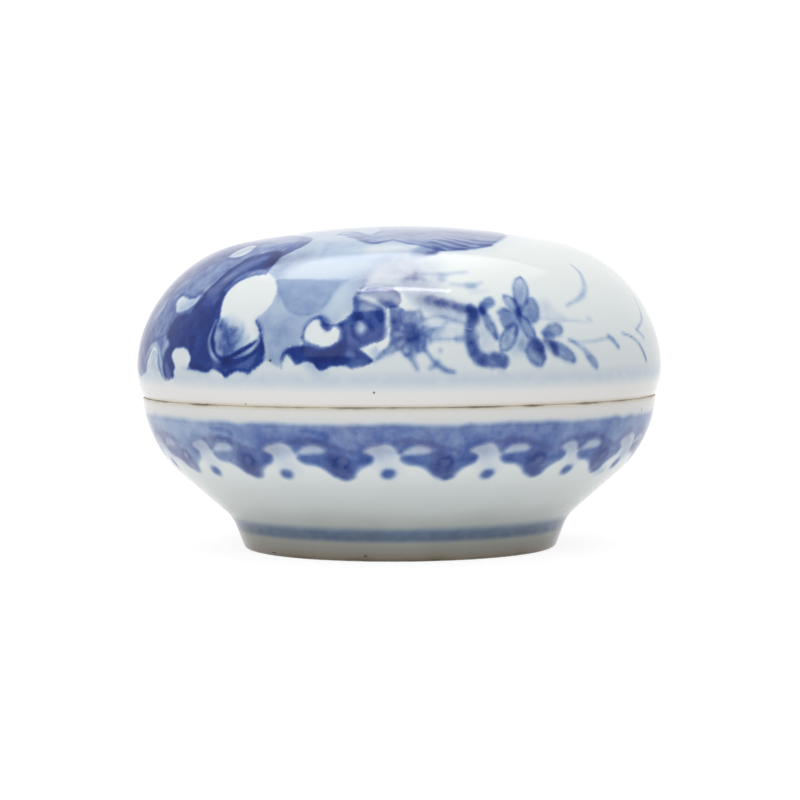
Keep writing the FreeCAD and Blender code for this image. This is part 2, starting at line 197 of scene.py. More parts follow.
def pale_sheet():
    """Table and wall as one sheet that curves up behind the box."""
    bend = [(0.9 + 0.6 * math.sin(a), 0.6 - 0.6 * math.cos(a))
            for a in np.linspace(0, math.pi / 2, 13)]
    line = [(-2.2, 0.0), (0.9, 0.0), *bend[1:], (1.5, 2.6)]
    mesh = bpy.data.meshes.new("pale_sheet")
    corners = [(x, y, z) for y, z in line for x in (-3.0, 3.0)]
    mesh.from_pydata(corners, [], [(2 * i, 2 * i + 1, 2 * i + 3, 2 * i + 2)
                                   for i in range(len(line) - 1)])
    mesh.shade_smooth()
    sheet = bpy.data.objects.new("pale_sheet", mesh)
    bpy.context.scene.collection.objects.link(sheet)
    paper = bpy.data.materials.new("pale_paper")
    wire = emptied(paper)
    lit = wire.node("ShaderNodeBsdfDiffuse", (), {"Color": (0.9, 0.9, 0.9, 1)})
    plain = wire.node("ShaderNodeEmission", (), {"Color": (1, 1, 1, 1), "Strength": 1.14})
    seen = wire.node("ShaderNodeMixShader", (),
                     {0: looking(wire) * (1.0 - SHADOW_SHARE), 1: lit, 2: plain})
    wire.node("ShaderNodeOutputMaterial", (), {"Surface": seen})
    mesh.materials.append(paper)
    return sheet


def hang_lamp(name, place, towards, width, depth, watts, colour=(1, 1, 1), mirror_only=False):
    data = bpy.data.lights.new(name, "AREA")
    data.shape, data.size, data.size_y = "RECTANGLE", width, depth
    data.energy, data.color = watts, colour
    lamp = bpy.data.objects.new(name, data)
    lamp.location = place
    lamp.rotation_euler = (Vector(towards) - Vector(place)).to_track_quat("-Z", "Y").to_euler()
    lamp.visible_diffuse = not mirror_only
    lamp.visible_camera = False
    bpy.context.scene.collection.objects.link(lamp)
    return lamp


def fade_lamp(lamp, strength):
    """Dims the cloth of a soft box: strength makes a wire from how far a spot of it is
    across from the left and how far back from the near edge, both as shares."""
    wire = emptied(lamp.data)
    spot = wire.node("ShaderNodeNewGeometry", output="Parametric")
    shares = [spot.node("ShaderNodeSeparateXYZ", (), {0: spot}, output=k) for k in (0, 1)]
    glow = wire.node("ShaderNodeEmission", (), {"Strength": strength(*shares)})
    wire.node("ShaderNodeOutputLight", (), {"Surface": glow})
    return lamp


light_room()
pale_sheet()
bpy.context.scene.view_settings.view_transform = "Standard"
LAMPS = [
    hang_lamp("top_panel", (0.0, 0.10, 0.75), (0, 0, 0.03), 0.9, 0.7, 2.5),
    hang_lamp("front_fill", (-0.35, -0.85, 0.55), (0, 0, 0.03), 0.7, 0.5, 1.7),
    fade_lamp(hang_lamp("long_soft_box", (0.02, 0.22, 0.60), (0.02, 0.22, 0), 0.88, 0.48, 4.0,
                        mirror_only=True),
              lambda across, back: (1 - across.over(0.45, 0.56) * 0.42)
              * (1 - across.over(0.62, 0.80)) * across.over(0.08, 0.16)
              * (back + across * 2.0).over(0.55, 0.61)
              * (1 - (back - across * 0.6).over(0.42, 0.64)) * (1 - back.over(0.60, 0.90))),
    hang_lamp("bright_slit", (0.02, -0.137, 0.60), (0.02, -0.137, 0), 0.29, 0.036, 0.50,
              (1.0, 0.88, 0.92), mirror_only=True),
    hang_lamp("low_slit", (0.27, -0.56, 0.60), (0.27, -0.56, 0), 0.30, 0.016, 0.14,
              (1.0, 0.86, 0.92), mirror_only=True),
]
print("lamps", [lamp.name for lamp in LAMPS])

# %% [markdown]
# ## Turning a form
#
# Everything here was made on a wheel, so each piece starts as half a section. A section
# is a list of runs. A run is a line of (reach, height) points in millimetres, with the
# spacing of its rings, a zone name, and how far its last corner is rubbed round.
#
# Spinning a section by an equal number of steps would crowd thin triangles at the
# middle. Here each ring has as many points as its own length needs, and two rings that
# differ are zipped together, so that the triangles stay even and carry the painting
# equally well everywhere.

# %% Lines, arcs and tangent points in a section
def straight(start, end):
    return np.array([start, end], float)


def arc(centre, radius, begin, end):
    """Points of an arc; 0 degrees points outwards and 90 up."""
    angles = np.radians(np.linspace(begin, end, 49))
    return np.column_stack((centre[0] + radius * np.cos(angles),
                            centre[1] + radius * np.sin(angles)))


def polar(centre, radius, degrees):
    angle = math.radians(degrees)
    return centre[0] + radius * math.cos(angle), centre[1] + radius * math.sin(angle)


def lengths(points):
    return np.concatenate(([0], np.cumsum(np.linalg.norm(np.diff(points, axis=0), axis=1))))


def along(points, distances):
    run = lengths(points)
    return np.column_stack([np.interp(distances, run, points[:, k]) for k in (0, 1)])


def easing_radius(point, degrees, round_centre, round_radius):
    """Radius of an arc that leaves point at right angles to the given direction and
    flows into a bigger arc around round_centre."""
    out = np.array(polar((0, 0), 1, degrees))
    gap = np.array(point) - round_centre
    return (gap @ gap - round_radius ** 2) / (2 * (gap @ out - round_radius))


def joined(runs):
    """The rings of a section as rows of reach, height and spacing, and each zone's
    first and last ring."""
    rows, zones, worn = [], {}, 0.0
    for number, (points, step, zone, corner) in enumerate(runs):
        end = lengths(points)[-1] - corner
        count = max(2, math.ceil((end - worn) / step) + 1)
        spots = along(points, np.linspace(worn, end, count))
        first = len(rows)
        if rows and worn == 0.0:
            spots, first = spots[1:], first - 1
        rows += [(*spot, step) for spot in spots]
        zones[zone] = (zones.get(zone, (first,))[0], len(rows) - 1)
        if corner:
            after, after_step = runs[number + 1][:2]
            a, b, c = spots[-1], points[-1], along(after, [corner])[0]
            for t in np.linspace(0, 1, 7)[1:-1]:
                rows.append((*((1 - t) ** 2 * a + 2 * t * (1 - t) * b + t * t * c),
                             min(step, after_step)))
        worn = corner
    return np.array(rows), zones


print("an arc easing from the lid's side into its crown:",
      round(easing_radius((41.534, 35.1), 19.24, (0, -76), 128), 2), "mm")

# %% [markdown]
# The form keeps, for each point of its mesh, the distance along the section (`run`) and
# the angle round the wheel (`turn`, 0 at the front and growing to the right). Shape and
# normals come from one function, so that a slow sway of the thrower's hand bends the
# reflections as well as the outline.

# %% Spin a section into a closed mesh
class Turned:
    """A closed form turned from a section, in millimetres."""

    def __init__(self, name, runs, sway):
        rows, self.zones = joined(runs)
        self.section, self.sway = rows[:, :2], sway
        self.ring_run = lengths(self.section)
        counts = [1 if reach < 1e-6 else max(8, round(2 * math.pi * reach / step))
                  for reach, _, step in rows]
        offsets = [0.5 * (number % 2) for number in range(len(rows))]
        self.run = np.repeat(self.ring_run, counts)
        self.turn = np.concatenate([2 * math.pi * (np.arange(n) + o) / n
                                    for n, o in zip(counts, offsets)])
        self.spots = self.place(self.run, self.turn)
        self.object = self.build(name, zip_all(counts, offsets))

    def place(self, run, turn):
        reach, height = (np.interp(run, self.ring_run, self.section[:, k]) for k in (0, 1))
        more_reach, more_height = self.sway(reach, height, turn)
        reach, height = reach + more_reach, height + more_height
        return np.column_stack((reach * np.sin(turn), -reach * np.cos(turn), height))

    def normals(self):
        step, swing = 0.05, 0.002
        up = self.place(self.run + step, self.turn) - self.place(self.run - step, self.turn)
        side = self.place(self.run, self.turn + swing) - self.place(self.run, self.turn - swing)
        normals = np.cross(side, up)
        normals[0], normals[-1] = (0, 0, -1), (0, 0, 1)
        return normals / np.linalg.norm(normals, axis=1)[:, None]

    def build(self, name, faces):
        mesh = bpy.data.meshes.new(name)
        mesh.from_pydata(self.spots * MM, [], faces)
        mesh.shade_smooth()
        mesh.normals_split_custom_set_from_vertices(self.normals())
        made = bpy.data.objects.new(name, mesh)
        bpy.context.scene.collection.objects.link(made)
        return made

    def span(self, zone):
        """Where a zone begins and ends along the section."""
        return tuple(self.ring_run[ring] for ring in self.zones[zone])

    def note(self, name, values):
        """Writes one number for each point of the mesh, for the shader to read."""
        attribute = self.object.data.attributes.new(name, "FLOAT", "POINT")
        attribute.data.foreach_set("value", np.asarray(values, np.float32))


def zip_all(counts, offsets):
    """Triangles between all neighbouring rings."""
    starts, faces = np.concatenate(([0], np.cumsum(counts))), []
    for k in range(len(counts) - 1):
        (n, m), (start, after) = counts[k:k + 2], starts[k:k + 2]
        moves = np.concatenate(((np.arange(n) + 0.5 + offsets[k]) / n,
                                (np.arange(m) + 0.5 + offsets[k + 1]) / m))
        order = np.argsort(moves, kind="stable") < n
        here, there = np.cumsum(order) - order, np.cumsum(~order) - ~order
        near = start + here % n
        far = after + there % m
        third = np.where(order, start + (here + 1) % n, after + (there + 1) % m)
        triangles = np.column_stack((near, third, far))
        faces.append(triangles[~((order & (n == 1)) | (~order & (m == 1)))])
    return np.vstack(faces).tolist()


def hand_sway(reach, height, turn):
    """The slow unevenness of a thrown wall, up to a tenth of a millimetre inwards."""
    clear = np.clip((np.abs(height - SEAM) - 0.8) / 5.0, 0, 1)
    wave = (np.sin(2 * turn + 0.6) + 0.7 * np.sin(3 * turn + 2.1 + height / 9)
            + 0.4 * np.sin(5 * turn - height / 4))
    push = -0.045 * (2.1 - wave) / 2.1 * clear * np.clip(reach / 12, 0, 1)
    return push, 0.3 * push


SEAM = 24.6
FINE, PLAIN, WIDE = 0.37, 0.8, 1.5
print("rings are", FINE, "mm apart where there is painting, and up to", WIDE, "elsewhere")

# %% [markdown]
# ## The lid
#
# In section the lid is five arcs that flow into each other: a tuck above the rim, the
# side, the shoulder and the broad crown outside, and a shoulder and a roof inside. The
# socket is straight, because it drops over the flange of the base, and its mouth is
# chamfered so that it finds its way.

# %% Build the lid
LID_RIM, LID_BELLY, BELLY_HEIGHT, SOCKET = 41.3, 42.5, 29.4, 38.4
SIDE_RADIUS, SIDE_RISE, CROWN_RADIUS, CROWN_TOP, ROOF_DEPTH = 17.3, 5.7, 128.0, 52.0, 3.8


def lid_runs():
    crown_centre = np.array((0.0, CROWN_TOP - CROWN_RADIUS))
    side_centre = (LID_BELLY - SIDE_RADIUS, BELLY_HEIGHT)
    side_end = math.degrees(math.asin(SIDE_RISE / SIDE_RADIUS))
    top = polar(side_centre, SIDE_RADIUS, side_end)
    shoulder = easing_radius(top, side_end, crown_centre, CROWN_RADIUS)
    shoulder_centre = polar(top, -shoulder, side_end)
    crown_start = math.degrees(math.atan2(*(shoulder_centre - crown_centre)[::-1]))
    roof = CROWN_RADIUS - ROOF_DEPTH
    inner = easing_radius((SOCKET, BELLY_HEIGHT), 0, crown_centre, roof)
    inner_centre = (SOCKET - inner, BELLY_HEIGHT)
    roof_end = math.degrees(math.atan2(*(inner_centre - crown_centre)[::-1]))
    drop, inset = BELLY_HEIGHT - SEAM, LID_BELLY - LID_RIM
    tuck = (drop ** 2 + inset ** 2) / (2 * inset)
    tuck_start = -math.degrees(math.asin(drop / tuck))
    return [
        (arc(crown_centre, roof, 90, roof_end), WIDE, "inside", 0),
        (arc(inner_centre, inner, roof_end, 0), 1.0, "inside", 0),
        (straight((SOCKET, BELLY_HEIGHT), (SOCKET, SEAM + 0.6)), PLAIN, "socket", 0.15),
        (straight((SOCKET, SEAM + 0.6), (SOCKET + 0.6, SEAM)), 0.3, "rim", 0.15),
        (straight((SOCKET + 0.6, SEAM), (LID_RIM, SEAM)), 0.5, "rim", 0.12),
        (arc((LID_BELLY - tuck, BELLY_HEIGHT), tuck, tuck_start, 0), FINE, "outside", 0),
        (arc(side_centre, SIDE_RADIUS, 0, side_end), FINE, "outside", 0),
        (arc(shoulder_centre, shoulder, side_end, crown_start), FINE, "outside", 0),
        (arc(crown_centre, CROWN_RADIUS, crown_start, 90), FINE, "outside", 0),
    ]


lid = Turned("lid_shell", lid_runs(), hand_sway)
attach(lid.object, "lid")
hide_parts("lid")
print("lid:", len(lid.spots), "points,", len(lid.object.data.polygons), "triangles")

# %% [markdown]
# ## The base
#
# The base stands on a foot ring whose wall leans out, and its underside swings up to a
# rim as wide as the lid. A flange stands up inside the rim. The well inside follows the
# outside at one wall's thickness. The foot is hollow underneath, so that only a ring
# touches the table.

# %% Build the base
RIM, FLANGE, BORE, FLANGE_TOP = 41.6, 38.0, 35.6, 28.6
FOOT, FOOT_LEAN, FOOT_RISE, FOOT_WIDTH, RECESS, DRAFT = 25.4, 21.0, 5.1, 3.6, 3.6, 9.0
BOWL, BOWL_RISE, WAIST, WALL, WELL_FLOOR = 18.0, 1.1, 7.3, 3.5, 7.4
FLOOR_BEND, SIDE_BEND = 12.0, 11.0


def crossing(point, degrees, other, other_degrees):
    """Where two lines meet, each through a point at an angle."""
    lines = np.column_stack((polar((0, 0), 1, degrees), polar((0, 0), -1, other_degrees)))
    share = np.linalg.solve(lines, np.subtract(other, point))[0]
    return polar(point, share, degrees)


def waist_arc(slope_foot, slope):
    """The hollow curve between the foot's wall and the bowl's underside."""
    return arc(polar(slope_foot, WAIST, slope - 90), WAIST, 180 - FOOT_LEAN, 90 + slope)


def base_runs():
    bowl_centre = (RIM - math.sqrt(BOWL ** 2 - BOWL_RISE ** 2), SEAM + BOWL_RISE)
    corner = (FOOT + FOOT_RISE * math.tan(math.radians(FOOT_LEAN)), FOOT_RISE)
    across, up = np.subtract(bowl_centre, corner)
    slope = math.degrees(math.atan2(up, across) - math.asin(BOWL / math.hypot(across, up)))
    setback = WAIST * math.tan(math.radians(90 - FOOT_LEAN - slope) / 2)
    wall_top, slope_foot = polar(corner, -setback, 90 - FOOT_LEAN), polar(corner, setback, slope)
    rim_angle = -math.degrees(math.asin(BOWL_RISE / BOWL))
    inner_slope = polar(bowl_centre, BOWL - WALL, slope - 90)
    low = crossing((0, WELL_FLOOR), 0, inner_slope, slope)
    high = crossing((BORE, WELL_FLOOR), 90, inner_slope, slope)
    low_back = FLOOR_BEND * math.tan(math.radians(slope) / 2)
    high_back = SIDE_BEND * math.tan(math.radians(90 - slope) / 2)
    floor_end, wall_foot = (low[0] - low_back, WELL_FLOOR), (BORE, high[1] + high_back)
    foot_inner = FOOT - FOOT_WIDTH
    recess_end = (foot_inner - RECESS * math.tan(math.radians(DRAFT)), RECESS)
    return [
        (straight((0, RECESS), recess_end), WIDE, "recess", 1.0),
        (straight(recess_end, (foot_inner, 0)), 0.6, "recess", 0.65),
        (straight((foot_inner, 0), (FOOT, 0)), 0.6, "sole", 0.55),
        (straight((FOOT, 0), wall_top), FINE, "outside", 0),
        (waist_arc(slope_foot, slope), FINE, "outside", 0),
        (straight(slope_foot, polar(bowl_centre, BOWL, slope - 90)), FINE, "outside", 0),
        (arc(bowl_centre, BOWL, slope - 90, rim_angle), FINE, "outside", 0.25),
        (straight((RIM, SEAM), (FLANGE, SEAM)), 0.6, "seat", 0.25),
        (straight((FLANGE, SEAM), (FLANGE, FLANGE_TOP)), 0.6, "seat", 0.8),
        (straight((FLANGE, FLANGE_TOP), (BORE, FLANGE_TOP)), 0.4, "seat", 0.8),
        (straight((BORE, FLANGE_TOP), wall_foot), PLAIN, "well", 0),
        (arc((BORE - SIDE_BEND, wall_foot[1]), SIDE_BEND, 0, slope - 90), 1.0, "well", 0),
        (straight(polar(high, -high_back, slope), polar(low, low_back, slope)), 1.2, "well", 0),
        (arc((floor_end[0], WELL_FLOOR + FLOOR_BEND), FLOOR_BEND, slope - 90, -90), 1.0,
         "well", 0),
        (straight(floor_end, (0, WELL_FLOOR)), WIDE, "well", 0),
    ]


base = Turned("base_bowl", base_runs(), hand_sway)
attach(base.object, "base")
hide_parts("base")
print("base:", len(base.spots), "points,", len(base.object.data.polygons), "triangles")

# %% [markdown]
# ## The paste
#
# Seal paste is cinnabar ground with oil and silk floss, pressed into a cake with a
# bone spatula and stirred now and then. The cake is turned like the rest, and a spiral
# of soft ridges is left by the spatula.

# %% Build the paste
PASTE_FOOT, PASTE_EDGE, PASTE_TOP = 17.0, 5.5, 20.4


def spatula_ridges(reach, height, turn):
    """Stirred ridges on the upper side, up to half a millimetre deep."""
    upper = np.clip((height - 13.0) / 4.0, 0, 1)
    pull = 0.5 * np.sin(turn * 2 + 0.8) + 0.35 * np.sin(turn * 5 - reach / 3)
    ridge = 0.5 - 0.5 * np.cos(2 * math.pi * (reach / 3.4 - turn / (2 * math.pi)) + pull)
    nick = 0.5 + 0.5 * np.sin(turn * 17 + reach * 1.3)
    depth = -(0.42 * ridge ** 2 + 0.06 * nick * ridge) * upper * np.clip(reach / 2.5, 0, 1)
    return 0.3 * depth, depth


def paste_runs():
    rise = PASTE_TOP - WELL_FLOOR - 2 * PASTE_EDGE
    foot_gap = (PASTE_FOOT ** 2 + rise ** 2) / (2 * rise)
    crown = foot_gap + PASTE_EDGE
    side_centre = (PASTE_FOOT, WELL_FLOOR + PASTE_EDGE)
    crown_centre = (0.0, PASTE_TOP - crown)
    crown_start = math.degrees(math.atan2(side_centre[1] - crown_centre[1], PASTE_FOOT))
    return [
        (straight((0, WELL_FLOOR), (PASTE_FOOT, WELL_FLOOR)), WIDE, "sole", 0),
        (arc(side_centre, PASTE_EDGE, -90, crown_start), 0.5, "side", 0),
        (arc(crown_centre, crown, crown_start, 90), 0.4, "top", 0),
    ]


paste = Turned("red_paste_cake", paste_runs(), spatula_ridges)
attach(paste.object, "base")
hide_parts("seal_paste")
print("paste:", len(paste.spots), "points,", len(paste.object.data.polygons), "triangles")
bpy.context.view_layer.update()

# %% [markdown]
# ## Brush and skin
#
# The ornament is painted with a brush, so the script paints it too. `Skin` lays the
# outside of a piece flat, like the gores of a globe round the crown, and takes brush
# marks on it. For each layer it keeps how deep each point of the mesh lies inside the
# paint, in millimetres. The shader turns that depth into a crisp or a soft edge, which
# keeps lines sharp between the points as well.

# %% The skin of a piece
FAR, SOFT_EDGE = 2.5, 0.28


def flowing(points, closed=False, fine=6):
    """A smooth line through given points."""
    p = np.asarray(points, float)
    if closed:
        p = np.vstack((p[-1:], p, p[:2]))
    else:
        p = np.vstack((2 * p[0] - p[1], p, 2 * p[-1] - p[-2]))
    t = (np.arange(fine) / fine)[:, None]
    spans = [0.5 * (2 * b + (c - a) * t + (2 * a - 5 * b + 4 * c - d) * t ** 2
                    + (3 * b - a - 3 * c + d) * t ** 3)
             for a, b, c, d in zip(p, p[1:], p[2:], p[3:])]
    return np.vstack((*spans, p[-2:-1]))


class Skin:
    """The outside of a turned form, laid flat, with the brush marks on it."""

    LAYERS = ("wash", "second", "mid", "deep", "line", "speck")

    def __init__(self, form, pole_at_end, pole_gap=0.0):
        self.form = form
        first, last = form.span("outside")
        self.sign = -1 if pole_at_end else 1
        self.origin = last if pole_at_end else first - pole_gap
        self.rim = first if pole_at_end else last
        self.here = np.flatnonzero((form.run >= first - 1e-6) & (form.run <= last + 1e-6))
        self.spots = form.spots[self.here]
        reach = self.sign * (form.run[self.here] - self.origin)
        self.flat = self.spread(reach, form.turn[self.here])
        self.from_rim = np.abs(form.run[self.here] - self.rim)
        self.layers = {name: np.full(len(self.here), -FAR) for name in self.LAYERS}
        self.load = np.ones(len(self.here))
        self.blur = np.full(len(self.here), SOFT_EDGE)
        self.shade, self.violet = np.zeros(len(self.here)), np.zeros(len(self.here))
        rings = slice(form.zones["outside"][0], form.zones["outside"][1] + 1)
        reaches, heights = form.section[rings].T
        self.ring_angle = np.arctan2(heights - SEAM, reaches)
        self.ring_run = form.ring_run[rings]

    @staticmethod
    def spread(reach, turn):
        return np.column_stack((reach * np.sin(turn), -reach * np.cos(turn)))

    def gather(self, flat):
        """Run and turn of flat points."""
        reach = np.hypot(flat[:, 0], flat[:, 1])
        return self.origin + self.sign * reach, np.arctan2(flat[:, 0], -flat[:, 1])

    def lift(self, flat):
        return self.form.place(*self.gather(flat))

    def around(self, *points):
        """Flat points from (turn in degrees, millimetres from the rim)."""
        turn, away = np.array(points, float).T
        reach = abs(self.rim - self.origin) - away
        return self.spread(reach, np.radians(turn))

    def seen(self, *points):
        """Flat points from places in the camera's view of 800 by 800."""
        turning = camera.matrix_world.to_quaternion()
        scale = camera.data.sensor_width / camera.data.lens / VIEW_SIDE
        flat = []
        for x, y in points:
            way = Vector(((x - VIEW_SIDE / 2) * scale, (VIEW_SIDE / 2 - y) * scale, -1))
            way = (turning @ way).normalized()
            hit, place, *_ = self.form.object.ray_cast(EYE, way)
            if not hit:
                middle = EYE + way * (-EYE).dot(way)
                place = self.form.object.closest_point_on_mesh(middle)[1]
            x_mm, y_mm, z_mm = np.array(place) / MM
            angle = math.atan2(z_mm - SEAM, math.hypot(x_mm, y_mm))
            run = np.interp(angle, self.ring_angle, self.ring_run)
            flat.append((self.sign * (run - self.origin), math.atan2(x_mm, -y_mm)))
        return self.spread(*np.array(flat).T)

    def beside(self, at, offsets):
        """Flat points at (right, up) millimetres from a flat point."""
        right, up = np.array(offsets, float).T
        reach = math.hypot(*at) + self.sign * up
        run = self.origin + self.sign * reach
        radius = np.interp(run, self.form.ring_run, self.form.section[:, 0])
        return self.spread(reach, math.atan2(at[0], -at[1]) + right / radius)

    def near(self, line, reach):
        """Points of the skin near a flat line, and that line on the form."""
        low, high = line.min(0) - 1.6 * reach, line.max(0) + 1.6 * reach
        spots = np.flatnonzero(np.all((self.flat > low) & (self.flat < high), axis=1))
        return spots, self.lift(line)

    def gap(self, line, widths=(0.0,), reach=FAR):
        """Points near a brush line, and how far each is from its edge in millimetres."""
        spots, path = self.near(line, reach + max(widths) / 2)
        places = self.spots[spots]
        half = np.interp(np.linspace(0, 1, len(path)), np.linspace(0, 1, len(widths)),
                         np.asarray(widths) / 2)
        gap = np.full(len(spots), reach)
        for a, b, wide_a, wide_b in zip(path, path[1:], half, half[1:]):
            way = b - a
            share = np.clip((places - a) @ way / max(way @ way, 1e-12), 0, 1)
            away = np.linalg.norm(places - a - share[:, None] * way, axis=1)
            gap = np.minimum(gap, away - wide_a - share * (wide_b - wide_a))
        return spots, gap

    def within(self, outline, spots):
        """Which points lie inside a closed flat outline."""
        x, y = self.flat[spots].T
        inside = np.zeros(len(spots), bool)
        for (ax, ay), (bx, by) in zip(outline, outline[1:]):
            if ay != by:
                crosses = (ay > y) != (by > y)
                inside ^= crosses & (x < ax + (y - ay) * (bx - ax) / (by - ay))
        return inside

    def depth(self, outline, sharp=False):
        outline = np.vstack((outline, outline[:1])) if sharp else flowing(outline, True)
        spots, gap = self.gap(outline)
        return spots, np.where(self.within(outline, spots), gap, -gap)

    def lay(self, layers, spots, depth, keep=np.maximum):
        """Joins depths to what each layer already has there."""
        for name in layers.split():
            self.layers[name][spots] = keep(self.layers[name][spots], depth)

    def fill(self, layers, *outlines, sharp=False):
        for outline in outlines:
            self.lay(layers, *self.depth(outline, sharp))

    def cut(self, layers, *outlines):
        for outline in outlines:
            spots, depth = self.depth(outline)
            self.lay(layers, spots, -depth, np.minimum)

    def stroke(self, layers, widths, *paths):
        """Brush lines whose width changes evenly through the given widths."""
        for path in paths:
            spots, gap = self.gap(flowing(path), widths)
            self.lay(layers, spots, -gap)

    def wet(self, amount, widths, soft, *paths, violet=0.0):
        """Soft strokes that add to the load of cobalt, or lift some off, and that may
        draw it to violet."""
        for path in paths:
            spots, gap = self.gap(flowing(path), widths, soft)
            share = np.clip(0.5 - gap / (2 * soft), 0, 1)
            share = share * share * (3 - 2 * share)
            room = np.clip(1 - self.shade[spots] / 0.8, 0.1, 1) if amount > 0 else 1.0
            self.shade[spots] += amount * share * room
            self.violet[spots] = np.maximum(self.violet[spots], violet * share)

    def coats(self, coats):
        """Coats from a table of (layers, outline, ...) in the camera's view, cut out of
        the layers where the word cut comes first."""
        for layers, *outlines in coats:
            places = [self.seen(*outline) for outline in outlines]
            if layers.startswith("cut "):
                self.cut(layers[4:], *places)
            else:
                self.fill(layers, *places)

    def brush(self, strokes, placed=None):
        """Soft strokes from a table of (amount, widths, softness, violet, path, ...), in
        the camera's view unless another way to place the paths is given."""
        placed = placed or self.seen
        for amount, widths, soft, violet, *paths in strokes:
            self.wet(amount, widths, soft, *(placed(*path) for path in paths), violet=violet)

    def ring(self, layers, upper, lower):
        """A band round the piece between two distances from the rim, which may be one
        number or one for each point."""
        depth = np.minimum(self.from_rim - upper, lower - self.from_rim)
        self.lay(layers, slice(None), np.clip(depth, -FAR, FAR))

    def around_spot(self, at, radius):
        """1 at a flat point, falling softly to 0 at the radius."""
        share = np.clip(1 - np.linalg.norm(self.flat - at, axis=1) / radius, 0, 1)
        return share * share * (3 - 2 * share)

    def tint(self, at, radius, load):
        """Makes the cobalt round a flat point thinner or thicker."""
        self.load += self.around_spot(at, radius) * (load - self.load)

    def soften(self, at, radius, blur):
        """Lets the coats round a flat point run out softly."""
        self.blur += self.around_spot(at, radius) * (blur - self.blur)

    def finish(self):
        notes = {name: (np.clip(depth, -FAR, FAR), -FAR) for name, depth in self.layers.items()}
        notes |= {"load": (self.load, 1.0), "blur": (self.blur, 1.0),
                  "shade": (self.shade, 0.0), "violet": (self.violet, 0.0)}
        for name, (here, elsewhere) in notes.items():
            values = np.full(len(self.form.spots), elsewhere)
            values[self.here] = here
            self.form.note(name, values)
        return {name: int((depth > 0).sum()) for name, depth in self.layers.items()}


lid_skin = Skin(lid, pole_at_end=True)
base_skin = Skin(base, pole_at_end=False, pole_gap=27.0)
print("lid skin", len(lid_skin.here), "points, base skin", len(base_skin.here))

# %% [markdown]
# ## Painting the lid: the rock
#
# The lid shows the old subject of rock, flowers and bird. The garden rock is filled
# with full cobalt over a paler coat, its hollows are left white, and its lower edge is
# scalloped. The same rock goes on round the left side, where the camera doesn't see it.
#
# The painter's marks are kept as tables, and places in them are (across, down) in the
# camera's view of 800 by 800. A coat is (layers, outline, ...). A stroke is (how much
# cobalt, widths, softness, pull to violet, path, ...), and it lifts cobalt off where the
# first number is below 0.

# %% The outline of the big rock
ROCK_EDGE = ((173, 377), (174.5, 369), (182, 368), (189, 368.6), (197.3, 370.3), (205.5, 372),
             (213.6, 369.6), (218.5, 371), (222.5, 374.5), (225.5, 376.6), (230, 374), (236, 371.8),
             (243, 372), (248.3, 373.4), (252.4, 370), (257.5, 366), (262.6, 361))
ROCK_CREST = ((264.5, 352), (262.5, 340), (261.5, 330), (256, 322), (262, 309), (270, 296),
              (272, 284), (266, 277), (272, 267), (280, 258), (293, 251), (305, 245.4),
              (312, 240.3))
ROCK_DARK = ((264.5, 352), (262.5, 340), (260, 330), (254, 318), (236, 300), (224, 292), (231, 284),
             (242, 274.5), (256, 270), (267, 269), (276, 262), (282, 253), (275, 251.5), (262, 254),
             (249, 258), (239, 264), (229, 271), (221, 278), (212, 286), (203.4, 295), (197, 303),
             (190, 313), (177, 317), (172, 324), (169, 331), (167, 337), (170, 345), (165, 352))
ROCK_CORNER, DARK_CORNER = ((163, 379), (168, 382)), ((163, 370), (167, 379))
ROCK_LEFT_SPUR = ((146, 372), (148, 360), (154, 347), (157.5, 353), (158, 365))
ROCK_ON_CROWN_MM = ((-14.0, -17.5), (-18.0, -9.0), (-27.0, -6.0), (-33.0, 3.0))
ROCK_ROUND_LEFT = ((-118, 24), (-128, 15), (-121, 8), (-112, 5.5), (-104, 4), (-97, 5), (-90, 3.4),
                   (-83, 5.2), (-76, 3.8))
PALE_SHOULDER = (170, 285)
ROCK_HOLLOWS = (
    ("cut mid", ((229, 257), (234, 252.8), (240, 249.8), (249, 246.3), (256, 245.6), (252.5, 249.5),
                 (244, 255), (234, 257.8))),
    ("cut mid deep",
     ((171.8, 357), (172.8, 351.6), (176, 348), (181, 347), (186, 348.5), (189.3, 352.6),
      (190.7, 359), (189, 365), (187.6, 370), (189, 382), (173.8, 382), (175, 371), (174, 364)),
     ((177, 312), (176.5, 304), (179.5, 298.5), (184, 296.5), (189, 298.5), (195, 299),
      (200.5, 295.5), (196, 303), (189, 308.5), (182, 311.5))),
    ("cut mid deep",
     ((219.5, 318), (221.5, 306), (226, 294.5), (234, 286), (245, 279), (257, 275.6), (268, 275),
      (274.5, 279), (276.5, 289), (273.5, 299), (267.5, 308.5), (260, 316), (255.3, 321.5),
      (258, 327), (259.6, 335), (253, 342), (243, 347.5), (233, 353), (224, 357), (216.5, 353),
      (214, 341), (215.5, 329))),
)


def fill_rock(skin):
    crest = skin.seen(*ROCK_CORNER, *ROCK_EDGE, *ROCK_CREST)
    body = np.vstack((crest, ROCK_ON_CROWN_MM, skin.around(*ROCK_ROUND_LEFT),
                      skin.seen(*ROCK_LEFT_SPUR)))
    dark = skin.seen(*DARK_CORNER, *ROCK_EDGE, *ROCK_DARK)
    skin.fill("mid", body, dark)
    skin.fill("deep", dark)
    skin.coats(ROCK_HOLLOWS)
    skin.tint(skin.seen(PALE_SHOULDER)[0], 17.0, 0.66)


fill_rock(lid_skin)
print("rock filled:", int((lid_skin.layers["deep"] > 0).sum()), "points in full cobalt")

